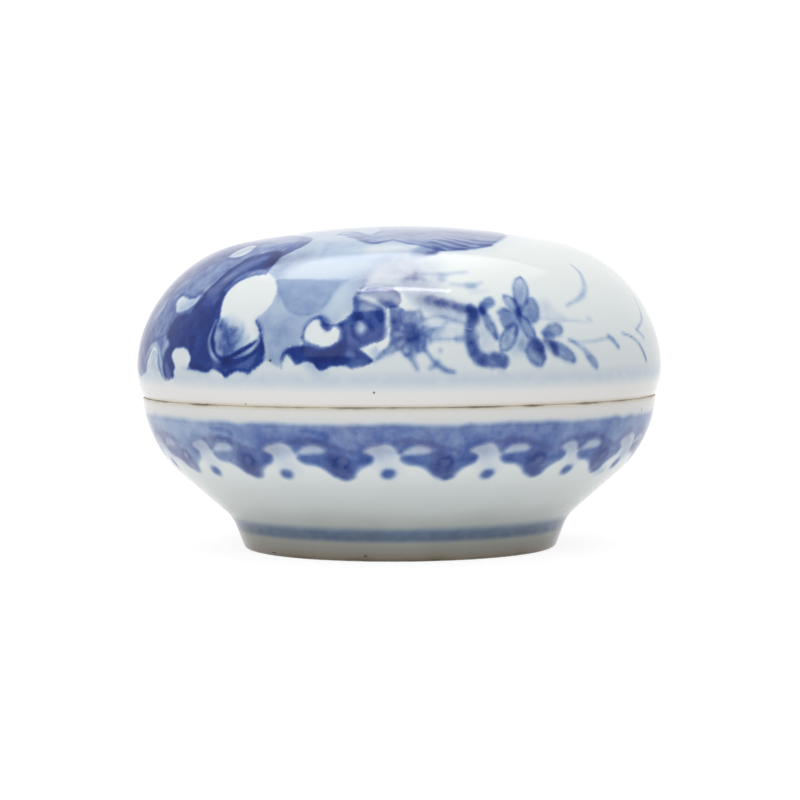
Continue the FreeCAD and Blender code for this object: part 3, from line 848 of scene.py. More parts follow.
# %% Shades, lips and veins of the big rock
ROCK_STROKES = (
    (-0.30, (1.0, 2.6, 1.0), 1.2, 0, ((226, 279), (243, 268), (266, 257.5))),
    (-0.18, (1.5, 3.0, 1.5), 1.3, 0.8, ((207, 291), (219, 286), (232, 278))),
    (-0.10, (1.0, 2.5, 1.0), 1.5, 0, ((203, 300), (212, 296), (216, 305)),
     ((205, 362), (222, 368), (236, 368))),
    (0.16, (1.0, 3.0, 1.5), 1.2, 1.0, ((268, 266), (276, 260), (282, 253))),
    (0.30, (0.3, 0.6, 0.3), 0.32, 0.9,
     ((204, 294), (212, 286), (221, 278), (232, 268.5), (241, 263.5), (252, 256.5), (266, 253),
      (281, 250.5)),
     ((246, 275), (254.5, 271), (264, 268.5), (273, 263), (280, 256.5), (292, 251), (303, 245),
      (311.5, 240))),
    (0.17, (1.0, 2.4, 1.0), 1.0, 0, ((231, 257), (240, 253.5), (252, 248.5))),
    (0.27, (3.0, 4.0, 3.0), 2.5, 1.0, ((144, 357), (146, 346), (152, 332))),
    (0.22, (3.0, 6.0, 4.0), 3.0, 1.0,
     ((141, 352), (144, 332), (151, 312), (163, 292), (179, 275), (204, 258), (236, 246))),
    (0.24, (3.0, 6.0, 4.0), 3.0, 1.0, ((150, 322), (160, 304), (180, 282), (206, 264), (246, 248))),
    # round the keyhole, the three-cornered window and the notch at the foot
    (0.14, (2.0, 2.4, 1.0), 0.9, 0, ((180, 305), (188, 303), (197, 299))),
    (0.20, (1.0, 1.6, 0.6), 0.9, 0, ((180, 311), (189, 307), (196, 302), (200, 296))),
    (0.30, (0.3, 0.6, 0.3), 0.34, 0,
     ((173.6, 314), (173.7, 304.6), (177.5, 298), (183, 294.6), (189, 297), (195.3, 297),
      (200.4, 292), (205, 294)),
     ((205, 294), (202.4, 300), (196, 307.5), (189, 312.5), (178, 315.5))),
    (-0.26, (0.5, 0.9, 0.5), 0.4, 0,
     ((144, 364), (147.5, 354), (151.5, 347), (155.5, 344.5), (158.5, 350), (160, 358),
      (161.5, 368), (163.5, 378))),
    (0.22, (0.3, 0.5, 0.3), 0.3, 0,
     ((149, 367), (151.4, 357), (154.4, 352), (157, 357), (157.8, 370)),
     ((145, 353), (150, 343), (156, 339), (161.6, 337), (168, 333))),
    (0.20, (0.8, 1.6, 0.8), 0.9, 0.6, ((152, 366), (154, 359), (155.5, 368))),
    (0.34, (0.8, 2.2, 1.4), 0.7, 0.7, ((176, 316), (171.5, 324), (169.5, 333))),
    (0.16, (0.5, 0.9, 0.5), 0.5, 0, ((170, 336), (171.5, 345), (170, 356))),
    (-0.20, (0.5, 1.2, 0.5), 0.5, 0, ((162.6, 352), (166, 345), (169.5, 338))),
    (-0.30, (1.0, 1.8, 2.2), 0.9, 0.5, ((166, 366), (168, 374), (169, 383))),
    (-0.22, (0.8, 1.6, 0.8), 0.7, 0, ((156.5, 316), (162.6, 308), (168, 299))),
    (0.14, (0.3, 0.6, 0.3), 0.4, 0, ((158, 319), (164, 311), (169, 300), (172, 291)),
     ((151, 338), (156, 327), (163, 321))),
    # wandering veins in the paler upper part, and pools along the lower edge
    (0.22, (0.3, 0.6, 0.3), 0.4, 0,
     ((166, 293), (171, 287), (176, 281), (183, 275), (189, 272), (197.3, 265), (207.5, 260),
      (213.6, 257.7), (222, 256.7), (230, 258.3), (236, 258.7), (247, 254.6), (257, 250)),
     ((192, 267), (199.3, 265), (206, 263), (213.6, 261.5), (219, 258))),
    (-0.10, (1.0, 2.5, 1.0), 1.2, 0, ((176, 290), (186, 280), (200, 270)),
     ((262, 247), (276, 244), (292, 241))),
    (0.10, (1.0, 2.0, 1.0), 1.2, 0, ((190, 288), (200, 279), (214, 270)),
     ((272, 249), (288, 246), (302, 242.5)), ((160, 334), (166, 322), (172, 305))),
    (0.12, (0.5, 0.9, 0.5), 0.5, 0, ROCK_EDGE[2:8], ROCK_EDGE[9:]),
    (0.10, (2.0, 4.0, 2.0), 2.0, 0, ((182, 338), (196, 336), (206, 345))),
)
lid_skin.brush(ROCK_STROKES)
print("darkest stroke on the rock", round(float(lid_skin.shade.max()), 2))

# %% The white stone in the rock, with a feathered foot and a pale lip
STONE_FOOT = (
    (0.42, (2.4, 3.8, 3.4), 1.1, 0, ((219, 328), (220, 339), (225, 350))),
    (0.40, (2.0, 4.0, 3.6), 1.9, 0, ((228, 327), (231, 338), (234, 346))),
)
STONE_DABS = ((226, 330, 0.26), (230, 337, 0.24), (236, 341, 0.20), (231, 347, 0.28),
              (223, 343, 0.22), (239, 333, 0.14), (225, 352, 0.26), (241, 343, 0.12))
STONE_LIP = (
    (0.34, (0.8, 1.3, 0.5), 0.5, 0, ((232, 328), (234.5, 333)),
     ((224, 333), (228, 341), (227, 350)), ((222, 321), (221, 330))),
    (0.14, (0.3, 0.5, 0.2), 0.4, 0, ((240, 338), (243, 331), (242, 322)), ((227, 326), (228, 318)),
     ((247, 341), (249, 334)), ((236, 345), (240, 338))),
    (-0.10, (0.3, 0.6, 0.3), 0.4, 0, ((217, 333), (218, 345)), ((229, 331), (231, 340))),
    (0.34, (0.3, 0.5, 0.3), 0.34, 0,
     ((229, 357.5), (236, 353), (243, 349.5), (250, 345.5), (256, 340)), ((215, 309), (213.6, 317)),
     ((256.5, 320), (261, 328), (262.4, 338))),
    (0.34, (0.8, 1.5, 0.8), 0.5, 0, ((220, 360.5), (226, 361.5), (231, 360.5))),
    (-0.55, (0.5, 0.9, 0.6), 0.38, 0,
     ((216.5, 321), (211.6, 332), (209.4, 341), (211, 351), (215.5, 358.6), (221, 361.8)),
     ((230, 359), (239, 355.6), (248, 351), (255, 345.5), (258.6, 339.5))),
    (0.20, (0.3, 0.5, 0.3), 0.34, 0.4, ((233, 363), (242, 359.5), (250, 355), (257, 349.5))),
    (-0.17, (1.0, 2.2, 1.2), 1.0, 0, ((238, 366), (247, 362), (254, 356))),
    (0.26, (0.3, 0.6, 0.3), 0.34, 0,
     ((213.6, 316), (217, 305), (222, 296.5), (230, 287.5), (240, 280.5), (254, 275))),
)


def paint_stone(skin):
    skin.brush(STONE_FOOT)
    skin.brush((amount, (0.8, 1.2, 0.6), 0.6, 0, ((x - 1, y - 3), (x, y), (x + 0.5, y + 3)))
               for x, y, amount in STONE_DABS)
    skin.brush(STONE_LIP)


paint_stone(lid_skin)
print("stone painted with", len(STONE_DABS), "dabs at its foot")

# %% [markdown]
# ## Painting the lid: the wash and the second rock
#
# Between the rocks the painter laid a thin coat, and a second one over part of it while
# it was damp, which dried as a half-moon. The second rock is smaller, with a white
# heart, two small windows and a curved white seam down its right side.

# %% The wash and the coats of the second rock
WASH_LEFT = ((256, 321), (261, 315), (268, 308), (274, 299), (277, 289), (276.5, 282), (272, 276),
             (266, 270), (270, 258), (290, 247), (302, 238))
WASH_ON_CROWN_MM = ((-15.0, -13.0), (-16.0, -5.0), (-10.0, 2.0), (0.0, 0.0))
WASH_RIGHT = ((410, 241), (412, 248), (403, 256), (386, 266), (372, 276), (366, 284), (361, 293),
              (359, 303), (357, 313), (342, 320), (333, 325), (326, 322), (320, 318), (312, 320),
              (305, 327), (301, 337), (300, 346), (288, 348), (282, 356), (279, 367), (270, 362),
              (263, 357), (262.6, 340), (260, 328))
DAMP_END = (394, 260)
SECOND_COATS = (
    ("second",
     ((277, 280), (300, 279), (330, 279), (352, 279), (342, 282), (336, 289), (329.5, 299.5),
      (323, 308), (315, 313), (303, 316), (292.5, 314), (285.5, 309), (281.5, 299.5),
      (278.3, 289))),
    ("mid",
     ((280, 367), (282, 356), (288.5, 347.5), (301, 345.5), (301.5, 336), (306, 326), (313, 319),
      (319, 317), (325, 322), (333.5, 324), (341.5, 320), (350, 315), (353, 311.5), (353, 301.5),
      (355, 295.5), (361, 291), (372, 287.5), (391, 288), (401, 296), (399, 306), (388, 309),
      (388, 316), (388, 334), (383, 341), (368, 345.5), (361, 349.5), (368, 355.5), (373, 361),
      (366, 366), (352, 369), (345.5, 366.5), (333.5, 366), (325.5, 369), (319, 370), (314, 364),
      (305, 361.5), (297, 365.5), (292.5, 361), (286.5, 354), (283.5, 359), (282, 367))),
    ("deep",
     ((281, 361), (283, 354), (288.5, 348), (302, 345.5), (312, 347), (324, 348.5), (334, 346),
      (341, 339), (341, 330), (339, 325), (345, 320), (352, 315), (358, 311), (366, 311),
      (375, 310), (383, 311), (385, 322), (383.5, 336), (378, 341), (366, 344.5), (359, 349),
      (366, 355), (372, 361), (365, 365), (352, 367.5), (345.5, 366), (333.5, 365), (325.5, 368.5),
      (319, 369), (314, 364), (305, 360.5), (297, 364.5), (292.5, 360), (287.5, 353.5))),
    ("second wash",
     ((389, 309), (398, 306), (405, 312), (402, 325), (401, 338), (404, 347), (396, 351),
      (386, 355.5), (376, 360.5), (383, 351), (389, 343))),
    ("cut mid deep",
     ((304.3, 337), (305.9, 329), (311, 322), (317, 318.5), (320, 320), (322, 326), (325.3, 331),
      (329.3, 331.4), (334.5, 327.5), (339, 332), (338.5, 339), (333.4, 344), (326.3, 346.6),
      (318, 345.8), (310, 342.4)),
     ((363, 350.5), (370, 346.5), (382, 343.2), (377, 350), (372.2, 356.5), (368, 355))),
)
lid_skin.fill("wash", np.vstack((lid_skin.seen(*WASH_LEFT), WASH_ON_CROWN_MM,
                                 lid_skin.seen(*WASH_RIGHT))))
lid_skin.coats(SECOND_COATS)
lid_skin.soften(lid_skin.seen(DAMP_END)[0], 8.0, 2.2)
print("wash covers", int((lid_skin.layers["wash"] > 0).sum()), "points")

# %% Clouds in the wash, and the second rock's pools, veins and pale seam
WASH_STROKES = (
    (0.13, (2.5, 4.5, 3.0), 2.5, 0, ((266, 324), (276, 334), (273, 352))),
    (0.07, (2.0, 4.0, 1.0), 2.0, 0, ((288, 336), (294, 326), (306, 320))),
    (-0.07, (1.0, 3.0, 1.0), 1.5, 0, ((346, 286), (338, 302), (330, 314)),
     ((352, 250), (372, 248), (404, 247))),
    (-0.09, (3.0, 5.0, 3.0), 2.2, 0, ((290, 272), (310, 270), (340, 268), (378, 266))),
    (-0.12, (3.0, 4.0, 3.0), 2.0, 0, ((378, 250), (404, 248))),
    (0.15, (2.0, 4.0, 3.0), 2.0, 0.4, ((281, 272), (288, 263), (300, 256))),
    (0.10, (0.3, 0.5, 0.3), 0.4, 0,
     ((346, 281), (337, 289), (330, 299), (323, 308), (313, 314), (300, 316)),
     ((278.5, 302), (278.6, 292), (278, 281))),
    (0.05, (0.4, 0.8, 0.4), 0.6, 0, ((320, 257.7), (326, 248), (333.4, 240))),
    (0.13, (3.0, 6.0, 3.0), 3.0, 1.0, ((372, 278), (396, 275), (426, 275))),
    (0.08, (3.0, 5.0, 3.0), 3.0, 1.0, ((394, 264), (410, 262), (430, 261))),
    (0.11, (3.0, 6.0, 3.0), 3.0, 0.5, ((318, 233), (345, 230), (380, 228))),
    (0.12, (0.8, 1.6, 0.8), 1.0, 1.0, ((405, 281), (411, 278), (416, 273))),
)
SECOND_ROCK_STROKES = (
    (0.14, (1.0, 3.2, 1.4), 1.0, 0, ((296, 352), (308, 356), (322, 362)), ((314, 366), (323, 366)),
     ((330, 351), (338, 355), (343, 349))),
    (0.12, (0.6, 1.4, 0.8), 0.8, 0, ((338, 345), (343, 336), (342, 326)),
     ((283, 358), (287, 350), (297, 347))),
    (0.22, (0.7, 1.2, 0.7), 0.5, 0, ((380, 310), (381.5, 319)), ((354, 311), (357, 317))),
    (-0.14, (1.0, 2.0, 1.0), 0.9, 0.3, ((361, 299), (368, 301), (374, 306))),
    (0.20, (0.6, 1.2, 0.6), 0.6, 0, ((372, 354), (376, 350.5), (380, 346.5))),
    (-0.17, (1.4, 3.0, 1.6), 1.3, 0, ((348, 318), (348, 330), (352, 343)),
     ((364, 340), (374, 333), (376, 320), (369, 314))),
    (-0.19, (1.0, 1.8, 1.0), 0.9, 0, ((346, 363.5), (357, 363), (367, 361))),
    (-0.34, (0.6, 1.0, 0.6), 0.6, 0, ((345, 355), (348, 354), (352, 354.6))),
    (-0.50, (1.1, 1.5, 1.1), 0.7, 0, ((361, 324), (361.5, 327), (361, 330))),
    (0.16, (0.3, 0.6, 0.3), 0.4, 0, ((354, 313), (361, 319), (369, 326), (373, 330)),
     ((355, 310), (362, 302), (374, 306), (383, 309.5)), ((352, 327), (354, 336), (360, 341))),
    (-0.14, (1.0, 2.2, 1.4), 1.0, 0.6, ((364, 293.5), (378, 295), (396, 299))),
    (-0.12, (1.0, 2.0, 2.0), 0.9, 0.8, ((386, 291), (396, 294), (399, 301))),
    (0.26, (0.4, 0.8, 0.4), 0.5, 0.6, ((378, 300.5), (383.5, 303), (391, 304))),
    (-0.32, (0.3, 0.6, 0.8, 0.6), 0.6, 0,
     ((357, 295.5), (368, 298.5), (378, 302.5), (384.5, 309), (388, 318), (388.5, 329), (387, 340),
      (381, 348))),
    (0.24, (0.3, 0.5, 0.3), 0.32, 0,
     ((302.6, 337), (304.5, 327), (310, 320.5), (317, 316.5), (321, 318))),
    (0.22, (0.3, 0.5, 0.3), 0.4, 0.5,
     ((354, 301), (356.5, 293), (366, 286.5), (380, 284.5), (394, 286))),
    (0.42, (0.9, 1.5, 0.5), 0.5, 0, ((320.5, 317.5), (325, 323), (326.5, 330))),
    (0.34, (0.8, 1.3, 0.8), 0.6, 0.5, ((393, 320), (397, 325))),
    (0.20, (0.8, 1.4, 0.8), 0.8, 0, ((390, 305), (392, 312), (393, 317)), ((393, 332), (394, 342)),
     ((401, 314), (403, 322))),
    (0.36, (0.3, 0.6, 0.3), 0.4, 0, ((373.2, 360.5), (379.3, 354.6), (389, 345), (400, 337.5))),
    (0.20, (0.3, 0.5, 0.3), 0.36, 0,
     ((374, 362), (389, 355.6), (399.5, 350.5), (405, 354.6), (411, 359.5))),
)
lid_skin.brush(WASH_STROKES)
lid_skin.brush(SECOND_ROCK_STROKES)
print("strokes", len(WASH_STROKES) + len(SECOND_ROCK_STROKES))

# %% [markdown]
# ## Painting the lid: flowers, leaves and twigs
#
# The pointed flower has a thin line round the pale coat of each petal, and the
# chrysanthemum's petals are parted by thin strokes. Stalks, twigs and buds are strokes
# of the same soft brush.

# %% Petals
def petal(root, tip, width):
    """A closed pointed petal between two flat points."""
    root, tip = np.asarray(root), np.asarray(tip)
    way = tip - root
    side = np.array((-way[1], way[0])) / max(np.linalg.norm(way), 1e-9) * width / 2
    shape = [(0, 0.25), (0.3, 0.85), (0.62, 1), (0.88, 0.6), (1, 0)]
    left = [root + way * share + side * out for share, out in shape]
    right = [root + way * share - side * out for share, out in shape[-2::-1]]
    return np.array(left + right)


PETAL_LINE = 0.42


def draw_petal(skin, root, tip, width, coat):
    """A pale petal with a soft dark outline that grows heavier towards its root."""
    outline = petal(root, tip, width)
    skin.fill(coat, outline)
    half = len(outline) // 2
    skin.wet(0.36, (PETAL_LINE * 1.6, PETAL_LINE, PETAL_LINE * 0.8), 0.3, outline[:half + 1],
             outline[::-1][:half + 1])


print("a petal has", len(petal((0, 0), (0, 5), 2)), "corners")

# %% Coats of the flowers and the small rock
BUD = ((526, 350), (530, 341.5), (538, 340), (543, 348), (545.5, 358), (541, 365.5), (533, 363),
       (527.5, 357))
SOFTER = (((484, 335), 0.6), ((532, 330), 0.45))
FLOWER_COATS = (
    ("wash",
     ((393, 324), (400, 313), (410, 311), (421, 312), (425, 321), (424, 330), (427, 340),
      (424, 349), (416, 355), (406, 355), (399, 348), (393, 338))),
    ("second",
     ((402, 330), (405, 324), (412, 322), (418, 326), (420, 333), (420, 342), (418, 350),
      (411, 352), (405, 347), (402, 338))),
    ("mid",
     ((465.5, 306), (471, 304), (478, 309), (478, 320), (476.5, 328), (477.5, 340), (480, 348),
      (488, 353), (502, 353.5), (508, 358), (506, 367), (494, 368), (480, 366), (471.5, 360),
      (466, 346), (465.5, 326), (467, 316)),
     ((478, 309), (481, 301.5), (487, 297), (493, 298), (494.5, 304), (489, 309), (483, 314))),
    ("wash second",
     ((497.5, 313), (501, 309.6), (506, 308), (512, 311), (518, 309), (519, 318), (514, 326),
      (508, 330), (503, 325), (500, 318))),
    ("wash",
     ((521, 308), (527, 300), (532, 298), (536.4, 303), (538, 311), (537, 319.4), (532, 322),
      (525, 320))),
    ("wash second", BUD),
    ("wash second",
     ((542, 332), (548, 326), (556, 323.5), (562, 328), (561, 335), (553, 338), (545, 337)),
     ((549, 343), (557, 341), (562, 344), (570, 350), (575.5, 359), (573, 362), (563, 359),
      (555, 353))),
)
lid_skin.coats(FLOWER_COATS)
for place, blur in SOFTER:
    lid_skin.soften(lid_skin.seen(place)[0], 12.0, blur)
print("mid coat", int((lid_skin.layers["mid"] > 0).sum()), "points")

# %% The chrysanthemum, with petals parted by thin strokes from a dark heart
FLOWER_HEART = (411, 336)
PETAL_TIPS = ((402, 309.6), (410, 310.6), (419.5, 310), (426, 319), (433, 330), (431, 342),
              (424, 351), (415, 356), (405, 356), (396, 347), (391, 334), (393, 321))
CHRYSANTHEMUM_STROKES = (
    (0.44, (1.8, 2.2, 1.8), 0.8, 0.3, ((409, 335.5), (413, 336.5))),
    (-0.12, (0.4, 0.4), 0.3, 0, ((410, 335), (412, 336))),
    (0.14, (1.0, 1.8, 1.0), 0.8, 0.3, ((393, 325), (394.6, 331))),
    (0.16, (1.0, 1.8, 1.0), 0.8, 0, ((415, 341), (420, 345), (423, 350))),
    (0.24, (1.2, 2.2, 0.8), 1.0, 0, ((422, 334), (430, 334), (440, 330))),
    (0.34, (0.6, 0.8, 0.5), 0.5, 0, ((408, 355), (413, 361), (417.4, 369)),
     ((438, 362), (434, 366), (430, 368))),
    (0.42, (0.4, 0.6, 0.9, 0.6), 0.42, 0,
     ((424, 348), (431, 357.6), (437, 363.6), (445, 369.6), (454, 372))),
    (0.22, (0.3, 0.6, 0.3), 0.42, 0, ((421, 334), (431, 329.6), (441, 328), (447, 322)),
     ((424, 320), (433, 316.8), (443, 316.8), (453, 320), (465, 323)),
     ((424, 341), (440, 339), (456, 339)), ((440, 349), (441, 352))),
    (0.30, (1.0, 1.2), 0.5, 0, ((458, 339.3), (461, 339))),
    (0.09, (2.0, 4.0, 3.0), 2.0, 0, ((432, 326), (446, 324), (461, 327))),
)


def paint_chrysanthemum(skin):
    centre, *tips = skin.seen(FLOWER_HEART, *PETAL_TIPS)
    for tip, after in zip(tips, tips[1:] + tips[:1]):
        parting = centre + 0.80 * ((tip + after) / 2 - centre)
        outline = petal(centre + 0.30 * (tip - centre), tip, 1.7)
        skin.wet(0.17, (0.3, 0.5, 0.3), 0.40, outline[:5], outline[4:])
        skin.wet(0.12, (0.7, 0.3), 0.5, np.array([centre + 0.2 * (parting - centre), parting]))
    skin.brush(CHRYSANTHEMUM_STROKES)


paint_chrysanthemum(lid_skin)
print("chrysanthemum of", len(PETAL_TIPS), "petals")

# %% The small rock, and the beaded stalk that reaches it from the left
SMALL_ROCK_STROKES = (
    (0.28, (0.9, 1.4, 0.9), 0.7, 0, ((471, 308), (475, 313), (475, 321)),
     ((468, 329), (470, 340), (474, 350)), ((482, 306), (480, 313))),
    (0.20, (0.8, 1.4, 0.8), 0.7, 0, ((474, 354), (481, 361), (490, 364)), ((495, 355), (497, 361)),
     ((504, 357), (505, 365))),
    (-0.10, (1.0, 1.6, 1.0), 0.8, 0, ((471, 320), (472, 328)), ((478, 352), (484, 357))),
    (0.10, (2.0, 3.0, 2.0), 1.2, 0, ((497, 359), (503, 362))),
    (0.13, (2.0, 3.0, 2.0), 1.4, 0, ((481, 326), (485, 336), (484, 345))),
    (0.50, (0.9, 1.4, 1.6, 0.8), 0.42, 0, ((481.5, 310), (486, 317), (490.6, 325.6), (497, 338))),
    (-0.12, (0.3, 0.6, 0.3), 0.4, 0, ((488, 322), (492.5, 331))),
)
BEADS = ((430.5, 300), (440.5, 302.5), (450, 304.5), (460, 307.5), (469, 311), (473, 318))
STALK = (
    (0.24, (1.4, 2.6, 2.2), 1.6, 0.4, ((424, 303), (443, 308), (466, 314))),
)
ROCK_DABS = ((470, 329), (475, 336), (469, 344), (475, 350), (482, 357), (491, 366), (498, 358),
             (505, 363), (484, 363), (470, 322))
STALK_HAZE = (
    (0.16, (1.6, 2.6, 1.6), 1.4, 0.8, ((412, 298), (420, 299), (428, 302))),
    (0.15, (2.0, 3.4, 1.6), 1.8, 1.0, ((402, 288), (414, 286), (428, 289), (438, 292))),
    # light spots on the rock
    (-0.14, (0.8, 1.2, 0.8), 0.5, 0, ((489.6, 361), (491, 364)), ((472.5, 332), (471.5, 338))),
)


def paint_small_rock(skin):
    skin.brush(SMALL_ROCK_STROKES)
    skin.brush((0.46, (1.3, 1.7), 0.6, 0.7, ((x - 1.0, y), (x + 1.0, y + 0.5))) for x, y in BEADS)
    skin.brush(STALK)
    for x, y in ROCK_DABS:
        skin.brush(((0.20, (0.9, 1.1), 0.5, 0, ((x - 1.0, y), (x + 1.0, y + 0.8))),
                    (-0.09, (0.8, 1.0), 0.5, 0, ((x + 2.2, y + 4.0), (x + 3.4, y + 4.4)))))
    skin.brush(STALK_HAZE)


paint_small_rock(lid_skin)
print("beads on the stalk", len(BEADS))

# %% The pointed flower, its bud and the bud on its right
FLOWER_BACK = (
    (0.22, (0.3, 0.6, 0.3), 0.42, 0, ((497.5, 313), (502, 309), (509, 311), (516, 314)),
     ((500, 319), (504, 326), (508, 330))),
    (0.32, (0.3, 0.6, 0.4), 0.42, 0,
     ((526, 304), (528, 299.4), (532.4, 298.6), (536.6, 304), (538, 311), (537, 319), (533, 322))),
    (0.20, (0.3, 0.6, 0.3), 0.5, 0, ((526, 309.6), (531, 309), (537, 311.6))),
    (0.14, (1.4, 2.4, 1.4), 0.9, 0, ((502, 313), (506, 317), (508, 323)),
     ((531, 303), (532, 310), (532, 317))),
    (0.14, (1.4, 2.4, 1.4), 1.0, 0, ((526, 312), (531, 316), (530, 308))),
)
POINTED_PETALS = (((520, 309), (520.5, 277), 2.5, "wash"), ((519, 312), (504, 295.6), 1.7, "wash"),
                  ((519, 315), (534.5, 341), 1.9, "wash second"),
                  ((516, 325), (501.5, 351), 2.3, "wash"))
FLOWER_FRONT = (
    (0.30, (0.4, 0.9, 0.5), 0.42, 0,
     ((512.5, 299), (516, 307), (518.5, 316), (518, 326), (515, 334)),
     ((521, 305), (519, 313), (520, 320))),
    (0.18, (1.0, 2.4, 1.4), 1.0, 0, ((509, 343), (517, 347), (526, 350))),
    (0.22, (0.8, 1.8, 1.0), 0.8, 0, ((521, 332), (523.5, 340), (521, 346))),
    (0.15, (0.3, 0.5, 0.3), 0.4, 0, ((517.5, 284), (518.5, 293), (518.8, 302)),
     ((522.5, 284), (521.8, 293), (521, 302)), ((508, 300), (513, 306)), ((507, 336), (511, 331)),
     ((505, 341), (508, 338))),
    # the bud below on the right
    (0.32, (0.4, 0.7, 0.4), 0.42, 0, BUD[:5], BUD[4:]),
    (0.50, (1.0, 1.9, 0.8), 0.7, 0.6, ((532, 343), (538, 347), (543, 356))),
    # the bud on the far right, and the stalk that it hangs from
    (0.24, (0.4, 0.7, 0.5), 0.45, 0, ((542, 333), (548, 326), (556, 323.5), (562, 328), (561, 335)),
     ((545, 337), (549, 332), (554, 336)),
     ((562, 344), (570, 350), (575.5, 359), (572, 362), (563, 359), (555, 353))),
    (0.48, (1.0, 2.0, 1.4), 0.6, 0.5, ((546, 342), (552, 346), (555.5, 351.5))),
    (0.16, (0.3, 0.5, 0.3), 0.4, 0, ((557, 346), (564, 351), (569, 356))),
    (0.26, (0.8, 1.4, 0.8), 0.6, 0, ((545, 334), (550, 340))),
    (0.40, (0.35, 0.8, 1.3, 1.5, 0.9), 0.42, 0,
     ((569, 339.5), (583, 348.5), (589.6, 356.7), (594, 362), (596.5, 366))),
)


def paint_pointed_flower(skin):
    skin.brush(FLOWER_BACK)
    for root, tip, width, coat in POINTED_PETALS:
        draw_petal(skin, *skin.seen(root, tip), width, coat)
    skin.brush(FLOWER_FRONT)


paint_pointed_flower(lid_skin)
print("darkest soft stroke", round(float(lid_skin.shade.max()), 2))

# %% Twigs and grass
TWIGS = (
    (0.20, (0.3, 0.4, 0.5), 0.4, 0, ((569, 341), (581, 342), (594, 341), (607, 338))),
    (0.46, (0.7, 0.9, 0.7), 0.4, 0, ((609, 336.5), (613.5, 340.5), (618.3, 346.5))),
    (0.44, (0.25, 0.4, 0.8), 0.36, 0, ((622, 333.2), (632.4, 337.3), (640.6, 346.4), (646, 359.5))),
    (0.38, (0.3, 0.45, 0.3), 0.36, 0,
     ((634.4, 298.5), (639.6, 309.7), (641.6, 319.9), (637, 329.5))),
    (0.36, (0.5, 0.5), 0.36, 0, ((636, 329.5), (640, 333), (643.6, 337.5))),
    (0.24, (0.25, 0.5, 0.9, 0.9, 0.4), 0.42, 0,
     ((571, 264.8), (579.3, 272), (583.4, 281), (584.4, 289.3), (580, 298), (567, 305.6))),
    (0.12, (0.3, 0.4, 0.2), 0.3, 0, ((571, 264.8), (579.3, 272), (582.5, 279))),
    (0.16, (0.4, 0.4, 0.3), 0.4, 0, ((540, 318), (561, 320), (586, 322))),
    (0.10, (1.2, 1.8, 0.8), 1.0, 0, ((542, 312), (552, 315), (562, 317)), ((543, 304), (549, 306))),
    (0.14, (0.7, 0.7), 0.5, 0, ((588.5, 319), (590.5, 319.6))),
    (0.20, (0.4, 0.9, 0.4), 0.6, 0, ((418, 274.5), (443, 274.2), (466.5, 272)),
     ((451, 284.2), (463.4, 285.4), (472, 285.8), (481, 282.6))),
    (0.22, (1.2, 1.2), 0.6, 0, ((441.8, 275.5), (442, 279)), ((469, 285.8), (473, 285.4))),
    (0.08, (0.5, 0.8, 0.5), 0.6, 0, ((471, 292.4), (487, 291))),
    (0.20, (0.5, 0.7, 0.5), 0.5, 1.0, ((408, 278.4), (415, 277.6), (424, 279)),
     ((415, 273), (415, 280))),
)
lid_skin.brush(TWIGS)
print("strokes of twigs and grass", len(TWIGS))

# %% [markdown]
# ## Painting the lid: the bird on the crown
#
# The bird flies over the crown, with its near wing and its tail towards the front. Its
# feathers are bold dark strokes over a pale coat: they are broad, because from the front
# the crown is seen nearly edge on. What lies further back is drawn from above, in
# millimetres from the middle of the crown.

# %% The near wing, with its feathers fanned towards the tip on the right
SCALE_STEP = 2.6


def scales(skin, corner, rows, steps):
    """Rows of small curved feathers, in millimetres from the middle of the crown."""
    for row in range(rows):
        for step in range(steps - row % 2):
            x = corner[0] + SCALE_STEP * step + SCALE_STEP / 2 * (row % 2)
            y = corner[1] + SCALE_STEP * row
            skin.wet(0.24, (0.3, 0.5, 0.3), 0.3,
                     ((x - 1.1, y + 1.2), (x, y), (x + 1.1, y + 1.2)))


WING_FRONT = ((384.4, 241.3), (392.6, 239.8), (407, 243.2), (420, 245.4), (430, 247.6),
              (437, 250.3), (453, 250.2), (473.6, 248.3), (490, 245.6), (500, 239.5),
              (505.3, 235.2), (498, 232.2))
WING_BACK_MM = ((12.0, -2.5), (7.0, -0.5), (2.5, 0.5), (-2.5, -1.5), (-3.4, -6.0), (-3.0, -14.0))
FEATHERS = (((433, 245.6), (438, 248.4), (443, 250)),
            ((431, 241.6), (439, 244.4), (452, 248), (465, 249)),
            ((432, 238.8), (445, 241), (458, 244.6), (470, 247.3)),
            ((446, 238.2), (462, 241.6), (478, 244.6), (491, 244.4)),
            ((450, 236), (467, 238.8), (480, 241.2), (496, 241.6)),
            ((452, 232.6), (470, 234.8), (485, 237), (500, 238)),
            ((478, 230.2), (494, 232.8), (505, 235)))
WING_STROKES = (
    (0.12, (2.0, 6.0, 4.0), 3.0, 0, ((402, 239), (430, 242), (470, 243), (492, 239))),
    (0.18, (5.0, 10.0, 6.0), 4.0, 0.7, ((404, 233), (450, 233), (494, 235))),
    (0.22, (3.0, 4.0, 2.0), 2.0, 1.0, ((450, 232), (476, 233.4), (494, 236))),
    (0.46, (0.4, 0.8, 0.6), 0.42, 0, WING_FRONT[1:6], WING_FRONT[5:9], WING_FRONT[8:11]),
    (0.50, (0.4, 1.1, 0.6), 0.42, 0, *FEATHERS),
)
BREAST = (
    ("wash second",
     ((407, 251), (413, 247.6), (421, 246.6), (430, 248), (437, 250.8), (434, 254), (424, 256.4),
      (412, 256))),
)
BREAST_STROKES = (
    (0.20, (0.4, 0.9, 0.4), 0.5, 0, ((399, 234), (412, 235), (428, 233.4)),
     ((410, 240.6), (422, 242.2), (430, 243.2))),
    (0.40, (0.6, 1.5, 0.7), 0.5, 0.8, ((426, 254.4), (432, 253.2), (437, 252))),
)


